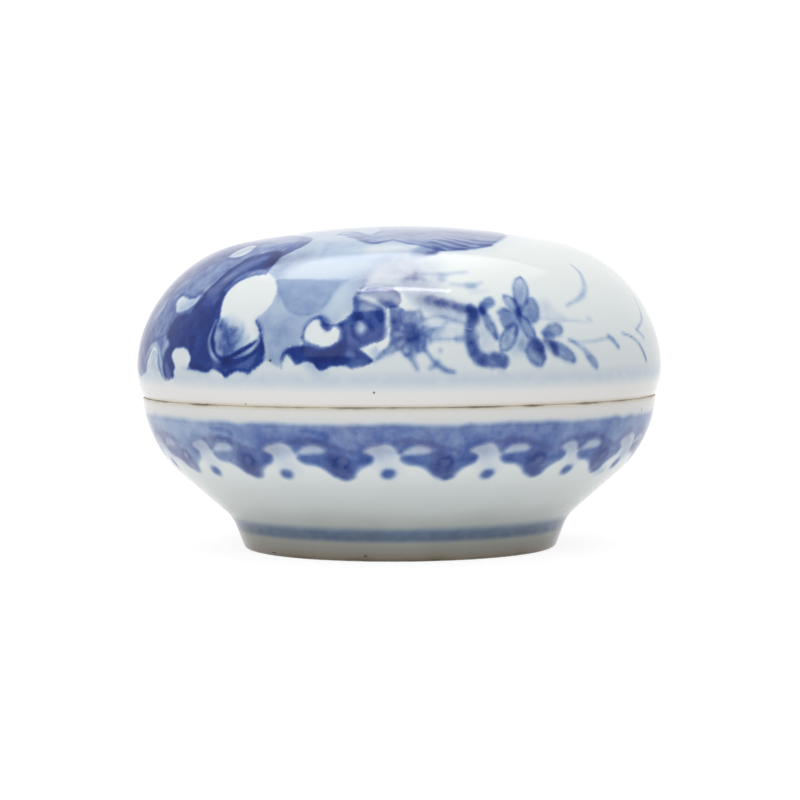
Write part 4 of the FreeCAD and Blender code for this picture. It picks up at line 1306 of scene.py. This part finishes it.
def paint_wing(skin):
    skin.fill("wash second", np.vstack((skin.seen(*WING_FRONT), WING_BACK_MM)))
    skin.coats(BREAST)
    skin.brush(WING_STROKES)
    scales(skin, (-0.6, -10.4), 4, 5)
    skin.brush(BREAST_STROKES)


paint_wing(lid_skin)
print("wing feathers", len(FEATHERS))

# %% The tail, which trails to the left in a long curl
TAIL_TOP = ((337, 235), (345.7, 232.2), (353.8, 232), (362, 233.7), (370, 235), (375.3, 234.2),
            (380.4, 231.6), (394.7, 230.2))
TAIL_FOOT = ((392.6, 239.8), (384.4, 241.3), (377.3, 242.9), (369, 242.7), (361, 240.2),
             (357, 238.3), (348.7, 236.8))
TAIL_STROKES = (
    (0.12, (1.0, 3.0, 3.0), 1.5, 0, ((352, 234.6), (368, 238.6), (384, 237))),
    (0.36, (0.4, 0.9, 0.5), 0.42, 0, TAIL_TOP[:6], TAIL_TOP[5:], TAIL_FOOT[5:]),
    (0.46, (0.5, 1.2, 0.5), 0.5, 0, TAIL_FOOT[:6]),
    (0.26, (0.3, 0.6, 0.3), 0.36, 0, ((346, 234.6), (356, 236), (366, 239.6), (376, 240.4)),
     ((352, 233.2), (368, 236.6), (382, 237))),
)
lid_skin.fill("wash second", lid_skin.seen(*TAIL_TOP, *TAIL_FOOT))
lid_skin.brush(TAIL_STROKES)
print("tail strokes", len(TAIL_STROKES))

# %% Body, head and far wing, seen from above
BODY_MM = ((-5.0, -3.0), (1.0, -1.0), (4.0, 4.0), (3.0, 10.0), (-1.0, 15.0), (-6.0, 16.0),
           (-9.0, 12.0), (-9.0, 5.0))
FAR_WING_MM = ((3.0, 3.0), (9.0, 7.0), (16.0, 14.0), (19.0, 21.0), (15.0, 22.0), (9.0, 20.0),
               (4.0, 15.0), (1.0, 9.0))
HEAD_MM = ((-7.0, 15.0), (-4.0, 17.0), (-6.0, 20.5), (-10.0, 20.0), (-11.0, 16.0))
BEAK_MM = ((-10.0, 19.0), (-12.5, 21.0), (-14.5, 21.4))
EYE_MM = ((-7.6, 18.0), (-7.2, 18.2))


def paint_bird(skin):
    skin.fill("mid", BODY_MM, FAR_WING_MM)
    skin.wet(0.30, (0.3, 0.5, 0.3), 0.36, BODY_MM + BODY_MM[:1], FAR_WING_MM + FAR_WING_MM[:1])
    skin.fill("deep", HEAD_MM)
    skin.wet(0.6, (1.0, 0.3), 0.3, BEAK_MM)
    skin.wet(-0.6, (0.8, 0.8), 0.3, EYE_MM)
    scales(skin, (-6.5, 1.0), 5, 4)
    for k in range(5):
        skin.wet(0.34, (0.4, 1.0, 0.5), 0.4,
                 ((3.0 + k * 0.6, 5 + 2.0 * k), (8.5 + 0.5 * k, 9.5 + 2.0 * k),
                  (17.5 - 0.9 * k, 19.5 + 0.4 * k)))


paint_bird(lid_skin)
print("bird painted")

# %% [markdown]
# ## Painting the lid: the far side
#
# Behind, the rock sends out a flowering branch that runs round the dome towards the
# right, with blossoms, buds and leaves, and a few grass blades stand at its foot. The
# places are turns round the wheel and millimetres up from the rim.

# %% The far side
BLOSSOM_PETALS = 5


def blossom(skin, at, size, start):
    """A round five-petalled flower with a dotted heart."""
    for k in range(BLOSSOM_PETALS):
        angle = start + 2 * math.pi * k / BLOSSOM_PETALS
        out = np.array((math.cos(angle), math.sin(angle)))
        ring = [out * size * 0.62 + 0.42 * size * np.array((math.cos(a), math.sin(a)))
                for a in np.linspace(0, 2 * math.pi, 9)[:-1]]
        outline = skin.beside(at, ring)
        skin.fill("wash", outline)
        skin.stroke("line", (0.3, 0.3), np.vstack((outline, outline[:1])))
    for k in range(BLOSSOM_PETALS):
        angle = start + 2 * math.pi * (k + 0.5) / BLOSSOM_PETALS
        out = np.array((math.cos(angle), math.sin(angle))) * size
        skin.stroke("deep", (0.35, 0.2), skin.beside(at, [out * 0.08, out * 0.34]))


def leaf(skin, root, tip, width):
    skin.fill("mid", petal(root, tip, width))
    skin.stroke("line", (0.45, 0.25), np.array([root, (root + tip) / 2, tip]))


def paint_far_side(skin):
    around = skin.around
    branch = around((-126, 16), (-138, 19), (-150, 17), (-163, 20.5), (-178, 23),
                    (-192, 21), (-206, 24), (-220, 20.5), (-231, 22))
    skin.stroke("deep mid", (2.2, 1.5, 1.1, 0.6), branch)
    twigs = ((-150, 17, -156, 11), (-178, 23, -184, 29.5), (-192, 21, -199, 14.5),
             (-206, 24, -213, 30), (-163, 20.5, -160, 28))
    for turn, up, turn_end, up_end in twigs:
        bend = ((turn + turn_end) / 2 - 1, (up + up_end) / 2)
        skin.stroke("mid line", (0.8, 0.4), around((turn, up), bend, (turn_end, up_end)))
    for turn, up, size in ((-157, 9.5, 3.6), (-186, 31.5, 3.2), (-200.5, 12.5, 3.8),
                           (-214, 31.5, 2.8), (-159, 30, 3.0), (-172, 17.5, 3.3)):
        blossom(skin, around((turn, up))[0], size, math.radians(turn * 3))
    for turn, up, turn_tip, up_tip in ((-143, 18, -146, 25), (-170, 22, -168, 28.5),
                                       (-184, 22, -179, 14), (-211, 22.5, -207, 15.5),
                                       (-222, 20.5, -226, 14), (-231, 22, -236, 26),
                                       (-198, 22.5, -196, 29)):
        root, tip = around((turn, up), (turn_tip, up_tip))
        leaf(skin, root, tip, 2.6)
    for number, turn in enumerate(range(-240, -212, 4)):
        lean, tall = 1.7 * (number - 3) + (number % 2), 10.0 + 2.5 * (number % 3)
        skin.stroke("second wash", (0.9, 0.7, 0.2),
                    around((turn, 5.2), (turn + lean * 0.3, 0.6 * tall + 2), (turn + lean, tall)))
    small_rock = around((-262, 5), (-266, 10), (-261, 14), (-256, 17), (-249, 13.5),
                        (-246, 9), (-243, 5), (-250, 4.2), (-256, 5.4))
    skin.fill("mid", small_rock)
    skin.cut("mid", around((-258, 8), (-259, 11), (-255.5, 12.5), (-254, 9.5)))
    skin.fill("deep", around((-253, 5.5), (-251, 9.5), (-247.5, 9), (-246, 6)))


paint_far_side(lid_skin)
print("far side painted")

# %% A faint ring above the rim, and kiln specks on the lid
RIM_RING_AT, RIM_RING_HALF = 4.2, 1.7
# places in the camera's view, and behind it turns and millimetres up, each with a width
SPECKS_IN_VIEW = (((270, 361), 0.44), ((373.6, 393.4), 0.3), ((246, 404.6), 0.2),
                  ((207, 404), 0.2), ((171, 400.6), 0.2), ((455, 407.6), 0.2))
SPECKS_BEHIND = (((134, 21), 0.26), ((205, 7), 0.3))
from_ring = np.abs(lid_skin.from_rim - RIM_RING_AT)
lid_skin.shade += 0.085 * np.clip(1 - from_ring / RIM_RING_HALF, 0, 1)
specks = [(lid_skin.seen(place), wide) for place, wide in SPECKS_IN_VIEW]
specks += [(lid_skin.around(place), wide) for place, wide in SPECKS_BEHIND]
for spot, wide in specks:
    lid_skin.stroke("speck", (wide, wide), np.vstack((spot, spot + 0.12)))
print("lid layers", lid_skin.finish())

# %% [markdown]
# ## Painting the base: the collar of cloud heads
#
# A mid-blue band runs under the rim, and sixteen cloud heads hang from it, as they do
# round the shoulders of so many blue and white pots. Each has a white comma on one side
# and a dark heart, and between each two is a dot. The painter's hand isn't a compass:
# spacing and size change a little from one to the next. A line circles the foot.

# %% The collar
LAPPETS, FIRST_LAPPET, LAPPET_ROOT = 16, -12.3, 5.0
# one cloud head as (right, down from the rim) in millimetres, and the strokes on it
LAPPET_EDGE = ((-9.6, 5.2), (-8.8, 5.5), (-8.1, 6.2), (-7.6, 6.9), (-6.9, 6.1),
               (-5.9, 5.6), (-4.6, 5.4), (-3.3, 5.7), (-2.7, 6.3), (-3.4, 6.8),
               (-5.2, 7.0), (-7.0, 7.2), (-7.4, 7.9), (-6.4, 8.8), (-4.5, 9.1),
               (-3.1, 10.0), (-1.9, 11.3), (-0.4, 12.1), (0.9, 11.6), (1.5, 10.4),
               (2.6, 9.4), (4.0, 8.6), (4.3, 7.6), (3.0, 6.7), (3.3, 6.1), (4.4, 5.6),
               (6.0, 5.2))
LAPPET_TOP = ((6.0, 3.6), (2.0, 3.6), (-2.0, 3.6), (-6.0, 3.6), (-9.6, 3.6))
LAPPET_HEART = ((-1.6, 7.6), (-0.9, 9.2), (-0.4, 10.8))
LAPPET_STROKES = (
    (0.10, (0.8, 1.4, 0.8), 0.8, 0, ((-7.0, 7.8), (-4.6, 8.2), (-3.0, 8.0)),
     ((1.6, 8.4), (3.0, 8.0), (3.8, 7.6))),
    (0.24, (0.3, 0.6, 0.4, 0.3), 0.4, 0, LAPPET_EDGE[:9], LAPPET_EDGE[22:]),
    (0.20, (0.3, 0.5, 0.5, 0.3), 0.45, 0, LAPPET_EDGE[11:17], LAPPET_EDGE[17:23]),
    (0.30, (0.9, 1.4, 0.9), 0.9, 0.5, ((-6.6, 6.3), (-4.8, 6.1), (-3.2, 6.2))),
    (0.18, (0.5, 1.1, 1.0, 0.6, 0.4), 0.6, 0.9,
     ((-9.0, 5.2), (-6.4, 4.9), (-3.6, 5.2), (-1.0, 6.0), (1.6, 6.8))),
    (0.27, (1.6, 2.8, 1.2), 1.3, 0.6, ((3.6, 6.5), (5.6, 6.2), (7.6, 6.6))),
    (0.10, (2.0, 2.8, 1.2), 1.6, 0, ((5.0, 8.0), (6.4, 9.0), (7.4, 10.0))),
    (0.26, (0.3, 0.6, 0.3), 0.4, 0.8, ((-1.6, 9.0), (-1.3, 7.9), (0.0, 7.6), (0.6, 8.5), (0.0, 9.4))),
    (-0.10, (0.6, 1.0, 0.6), 0.5, 0, ((-0.6, 8.4), (-0.4, 8.6)), ((-1.0, 10.2), (-0.2, 11.0))),
)
BAND_CURL = (
    (0.22, (0.4, 0.7, 0.3), 0.4, 0, ((-6.6, 3.3), (-4.4, 3.4), (-2.4, 4.0), (-3.0, 4.8), (-5.6, 4.6))),
)
# strokes near the two edges of the camera's view, in its places
SIDE_STROKES = (
    (0.20, (1.0, 1.8, 1.0), 0.8, 0, ((596, 470), (603, 471))),
    (0.26, (2.0, 3.6, 2.0), 1.8, 1.0, ((152, 424), (163, 441), (182, 458)),
     ((652, 424), (640, 440), (624, 452))),
)
# how thick the coat is at a turn round the wheel in degrees: thinner towards the left and
# right of the front, as a painted reflection
THINNED_AS_PAINTED_REFLECTION = ((30, 1.0), (38, 0.88), (50, 0.97), (62, 0.82), (80, 1.0),
           (257, 1.0), (287, 0.55), (310, 0.70), (320, 0.80), (327, 1.0))
BAND_FOOT, BAND_TOP, FOOT_LINE = 5.25, 2.26, (23.4, 27.2)


def collar_points(skin, turn, points, size):
    at = skin.around((turn, 0.0))[0]
    return skin.beside(at, [(right * size, -(LAPPET_ROOT + (down - LAPPET_ROOT) * size))
                            for right, down in points])


def paint_lappet(skin, number, hand):
    """One cloud head and the dot on its right, a little uneven as a hand lays them."""
    turn = FIRST_LAPPET + 360 / LAPPETS * number + hand.uniform(-0.7, 0.7)
    size = hand.uniform(0.95, 1.04)

    def marks(*points):
        return collar_points(skin, turn, points, size)

    edge = flowing(marks(*LAPPET_EDGE), fine=3)
    skin.fill("mid", np.vstack((edge, marks(*LAPPET_TOP))), sharp=True)
    skin.wet(hand.uniform(0.20, 0.30), (2.2, 3.8, 2.0), 1.0, marks(*LAPPET_HEART), violet=0.9)
    skin.brush(LAPPET_STROKES, marks)
    if number % 5 == 0:
        skin.brush(BAND_CURL, marks)
    dot_turn = turn + 180 / LAPPETS - 2.3 + hand.uniform(-0.6, 0.6)
    dot = skin.around((dot_turn, 11.0 + hand.uniform(-0.3, 0.3)))[0]
    skin.wet(hand.uniform(0.54, 0.64), (1.6, 2.0, 1.7), 0.6,
             skin.beside(dot, ((-0.25, -0.1), (0, 0), (0.3, 0.15))))


def paint_collar(skin):
    hand = np.random.default_rng(16)
    turns = np.radians(np.arange(0, 360, 3.0))
    uneven = BAND_TOP + 0.14 * hand.standard_normal(len(turns))
    wave = np.interp(np.mod(base.turn[skin.here], 2 * math.pi), np.append(turns, 2 * math.pi),
                     np.resize(uneven, len(turns) + 1))
    skin.ring("mid", wave, BAND_FOOT)
    for number in range(LAPPETS):
        paint_lappet(skin, number, hand)
    skin.load = 1.0 + 0.17 * np.clip((skin.from_rim - 3.0) / 5.0, 0, 1)
    # thinner at turns towards the sides, a painted reflection
    skin.load *= np.interp(np.degrees(base.turn[skin.here]) % 360, *zip(*THINNED_AS_PAINTED_REFLECTION))
    skin.blur = np.full(len(skin.here), 0.58)
    skin.brush(SIDE_STROKES)
    line = np.minimum((skin.from_rim - FOOT_LINE[0]) / 1.9, FOOT_LINE[1] - skin.from_rim)
    line = np.clip(line, 0, 1)
    skin.shade += 0.38 * line * line * (3 - 2 * line)
    # a faint haze of cobalt above the band
    skin.shade += 0.06 * np.clip(skin.from_rim - 1.2, 0, 1) * (skin.from_rim < 2.6)


paint_collar(base_skin)
print("collar of", LAPPETS, "cloud heads")

# %% Kiln specks on the base
FOOT_SPECKS = (((275, 553.8), 0.9), ((366, 556), 0.5))
SIDE_SPECK = ((642, 406.5), (641.8, 409), (641.5, 413))
for place, long in FOOT_SPECKS:
    spot = base_skin.seen(place)[0]
    base_skin.stroke("speck", (0.3, 0.36, 0.2),
                     base_skin.beside(spot, ((-long / 2, 0), (0, 0.05), (long / 2, 0))))
base_skin.stroke("speck", (0.1, 0.28, 0.12), base_skin.seen(*SIDE_SPECK))
print("base layers", base_skin.finish())

# %% [markdown]
# ## Bare clay
#
# The rims that touch are wiped clean of glaze before firing, and so is the sole of the
# foot. There the clay shows, warm white and dry, with a thin rusty line where the glaze
# stops. The meshes carry how deep each point lies in such a bare zone.

# %% Note the bare zones
def note_bare(form, *zones):
    """Zones are (name, how far the glaze stops short before it and after it)."""
    depth = np.full(len(form.spots), -FAR)
    for zone, before, after in zones:
        first, last = form.span(zone)
        first, last = first - before, last + after
        depth = np.maximum(depth, np.minimum(form.run - first, last - form.run))
    form.note("bare", np.clip(depth, -FAR, FAR))
    return int((depth > 0).sum())


print("bare points: lid", note_bare(lid, ("rim", 0.0, 0.10)),
      "base", note_bare(base, ("seat", 0.20, 0.0), ("sole", 0.2, 0.5)))

# %% [markdown]
# ## The porcelain
#
# Cobalt under glaze isn't one blue. Thin, it is a cool pale blue; full, it is close to
# black, and it swings to violet where it is thick. So the layers are added up to one
# load of cobalt for each spot, and a ramp turns the load into colour. Noise bends the
# edges, as dry clay drags a brush, and clouds the coats. The glaze is the gloss over
# all of it, a trace greener where it gathers above the foot. Its colour is also
# darkened as painted shade towards the foot, round the lid's belly and on the base just
# under the seam.

# %% The porcelain material
COBALT = ((0.00, (1.00, 1.00, 1.00)), (0.20, (0.60, 0.70, 0.87)),
          (0.36, (0.33, 0.44, 0.69)), (0.54, (0.12, 0.195, 0.50)),
          (0.74, (0.012, 0.053, 0.315)), (0.90, (0.002, 0.018, 0.18)),
          (1.00, (0.001, 0.005, 0.10)))
# layer, how much cobalt, how far clouds and grain change it, softness of its edge
COATS = (("wash", 0.235, 0.06, 0.10, 1.1), ("second", 0.165, 0.06, 0.10, 1.1),
         ("mid", 0.47, 0.34, 0.36, 1.1), ("deep", 0.64, 0.36, 0.42, 1.5),
         ("line", 0.52, 0.1, 0.3, 0.6))
# white glaze, and the glaze by the seam on the lid and on the base; the base's is darker, as painted
# shade
GLAZE_WHITE, LID_MARGIN, SHADED_BASE_MARGIN = (0.82, 0.86, 0.855), (0.84, 0.83, 0.815), (0.755, 0.76, 0.745)
# the glaze's tint by height, as shares of the whole height: a trace greener above the foot,
# and darkened as painted shade towards the foot and round the lid's belly
GLAZE_TINT_AND_SHADE = ((0.00, (0.19, 0.155, 0.10)), (0.014, (0.31, 0.27, 0.215)),
             (0.03, (0.33, 0.32, 0.28)), (0.055, (0.37, 0.37, 0.335)),
             (0.10, (0.50, 0.53, 0.50)), (0.17, (0.70, 0.75, 0.73)),
             (0.29, GLAZE_WHITE), (0.47, (0.78, 0.81, 0.82)), (0.57, (0.69, 0.745, 0.77)),
             (0.72, (0.77, 0.82, 0.825)), (0.85, GLAZE_WHITE))
CLAY, RUST, IRON = (0.77, 0.72, 0.63), (0.19, 0.15, 0.11), (0.05, 0.03, 0.025)
WHITE, VIOLET_PULL, SEAM_TINT = (1.0, 1.0, 1.0), (1.30, 0.94, 0.81), (0.90, 0.85, 0.74)
RECESS_FROM, RECESS_TO = 21.2, 21.9


def noise(place, scale, detail=2.0, rough=0.5):
    return place.node("ShaderNodeTexNoise", (), {"Vector": place, "Scale": scale,
                                                 "Detail": detail, "Roughness": rough})


def reading(wire, name):
    """One of the numbers noted on the mesh."""
    return wire.node("ShaderNodeAttribute", {"attribute_name": name}, output=2)


def place_in_mm(wire):
    """Where a spot lies on the piece, in millimetres."""
    coordinates = wire.node("ShaderNodeTexCoord", output=3)
    return wire.node("ShaderNodeVectorMath", {"operation": "SCALE"},
                     {0: coordinates, "Scale": 1 / MM})


def cover(wire, height, strength, inputs):
    """Ends a tree in one shader, with a height in millimetres pressed into it."""
    bump = wire.node("ShaderNodeBump", (), {"Height": height, "Distance": MM,
                                            "Strength": strength})
    shader = wire.node("ShaderNodeBsdfPrincipled", (), {"Normal": bump, **inputs})
    wire.node("ShaderNodeOutputMaterial", (), {"Surface": shader})


def cobalt_load(wire, place, mottling, dryness):
    """The load of cobalt from 0 to 1, and how far it is drawn to violet. The coats are
    clouded by the first share given, and a dry brush leaves ragged edges by the second."""
    drag = ((noise(place, 0.9, 3.0) - 0.5) * (0.55 * dryness)
            + (noise(place, 3.2, 2.0) - 0.5) * (0.22 * dryness))
    clouds = noise(place, 0.22, 3.0, 0.6) - 0.5
    mottle = noise(place, 0.55, 3.0, 0.5) - 0.5
    clear = None
    for name, strength, cloud, grain, soft in COATS:
        depth = reading(wire, name) + drag * (0.5 if name == "line" else 1.0)
        reach = reading(wire, "blur") * soft
        laid = depth.over(0 - reach, reach)
        amount = strength + clouds * (cloud * mottling) + mottle * (grain * mottling)
        if name == "mid":
            amount = amount * reading(wire, "load")
        left = 1 - laid * amount.math("MAXIMUM", amount, 0.02)
        clear = left if clear is None else clear * left
    strokes = reading(wire, "shade") * (1 + mottle * (1.4 * dryness))
    added, lifted = (strokes.math(side, strokes, 0.0) for side in ("MAXIMUM", "MINIMUM"))
    load = 1 - clear * (1 - added) + lifted
    faint = noise(place, 0.16, 2.0).over(0.46, 0.70) * 0.20
    violet = reading(wire, "violet") * 0.8 + faint
    return load, violet.math("MINIMUM", violet, 1.0)


def porcelain(name, mottling, dryness):
    material = bpy.data.materials.new(name)
    wire = emptied(material)
    place = place_in_mm(wire)
    height = wire.node("ShaderNodeSeparateXYZ", (), {0: place}, output=2)
    load, violet = cobalt_load(wire, place, mottling, dryness)
    blue = wire.node("ShaderNodeValToRGB", {"stops": COBALT}, {0: load})
    violet_blue = mixed(violet * load.over(0.02, 0.45), WHITE, VIOLET_PULL)
    tinted = mixed(1.0, blue, violet_blue, "MULTIPLY")
    # the glaze's colour by height, with painted shade towards the foot and round the lid's belly
    glaze_and_shade = wire.node("ShaderNodeValToRGB", {"stops": GLAZE_TINT_AND_SHADE},
                      {0: height * (1 / CROWN_TOP) + (noise(place, 0.12) - 0.5) * 0.04})
    across = [wire.node("ShaderNodeSeparateXYZ", (), {0: place}, output=k) for k in (0, 1)]
    under_foot = across[0] * across[0] + across[1] * across[1]
    glaze_and_shade = mixed(under_foot.over(RECESS_FROM ** 2, RECESS_TO ** 2), GLAZE_WHITE, glaze_and_shade)
    # by the seam: the lid's margin above it, and the base's below it, darkened as painted shade
    above_seam = height - SEAM
    glaze_and_shade = mixed(above_seam.over(-3.6, -1.6) * (1 - above_seam.over(1.6, 3.6)), glaze_and_shade,
                  mixed(above_seam.over(-0.1, 0.1), SHADED_BASE_MARGIN, LID_MARGIN))
    body = mixed(1.0, glaze_and_shade, tinted, "MULTIPLY")
    body = mixed(reading(wire, "speck").over(-0.12, 0.1), body, IRON)
    # warmer and a little darker within three quarters of a millimetre of the seam
    seam_tinted = mixed(1 - abs(above_seam).over(0.15, 0.75), WHITE, SEAM_TINT)
    body = mixed(1.0, body, seam_tinted, "MULTIPLY")
    crumble = (noise(place, 0.8, 3.0) - 0.5) * 0.35
    bare_depth = reading(wire, "bare") + crumble
    clay = mixed(noise(place, 1.4, 3.0).over(0.45, 0.8) * 0.15, CLAY, RUST)
    body = mixed(bare_depth.over(-0.1, 0.15), body, clay)
    rust = bare_depth.over(-0.25, 0.0) * (1 - bare_depth.over(0.15, 0.5))
    body = mixed(rust * noise(place, 0.16, 3.0).over(0.42, 0.68) * 0.8, body, RUST)
    dry = bare_depth.over(-0.1, 0.2)
    roughness = 0.035 + noise(place, 0.12) * 0.04 + dry * 0.6
    orange_peel = noise(place, 0.45, 1.0) * 0.010 + dry * noise(place, 6.0, 3.0) * 0.03
    cover(wire, orange_peel, 1.0, {"Base Color": body, "Roughness": roughness,
                                   "IOR": 1.5, "Specular IOR Level": 0.20})
    return material


lid.object.data.materials.append(porcelain("lid_porcelain", 1.0, 1.0))
base.object.data.materials.append(porcelain("base_porcelain", 0.7, 0.35))
print("porcelain nodes", len(lid.object.data.materials[0].node_tree.nodes))

# %% [markdown]
# ## The paste's finish
#
# Cinnabar is a dense vermilion. The oil stands on the pressed ridges as a soft sheen,
# and the silk floss leaves a fine, felted grain.

# %% The paste material
VERMILION, DEEP_RED, OILY_RED = (0.56, 0.035, 0.018), (0.30, 0.012, 0.010), (0.66, 0.07, 0.03)


def seal_paste():
    material = bpy.data.materials.new("red_paste")
    wire = emptied(material)
    place = place_in_mm(wire)
    felt, lumps = noise(place, 3.5, 4.0, 0.7), noise(place, 0.35, 3.0)
    colour = mixed(felt.over(0.35, 0.7), DEEP_RED, VERMILION)
    colour = mixed(lumps.over(0.5, 0.8) * 0.6, colour, OILY_RED)
    roughness = 0.34 + lumps * 0.25
    cover(wire, felt * 0.10 + lumps * 0.12, 0.9, {"Base Color": colour, "Roughness": roughness,
                                                  "IOR": 1.47})
    return material


paste.object.data.materials.append(seal_paste())
print("materials", [m.name for m in bpy.data.materials])
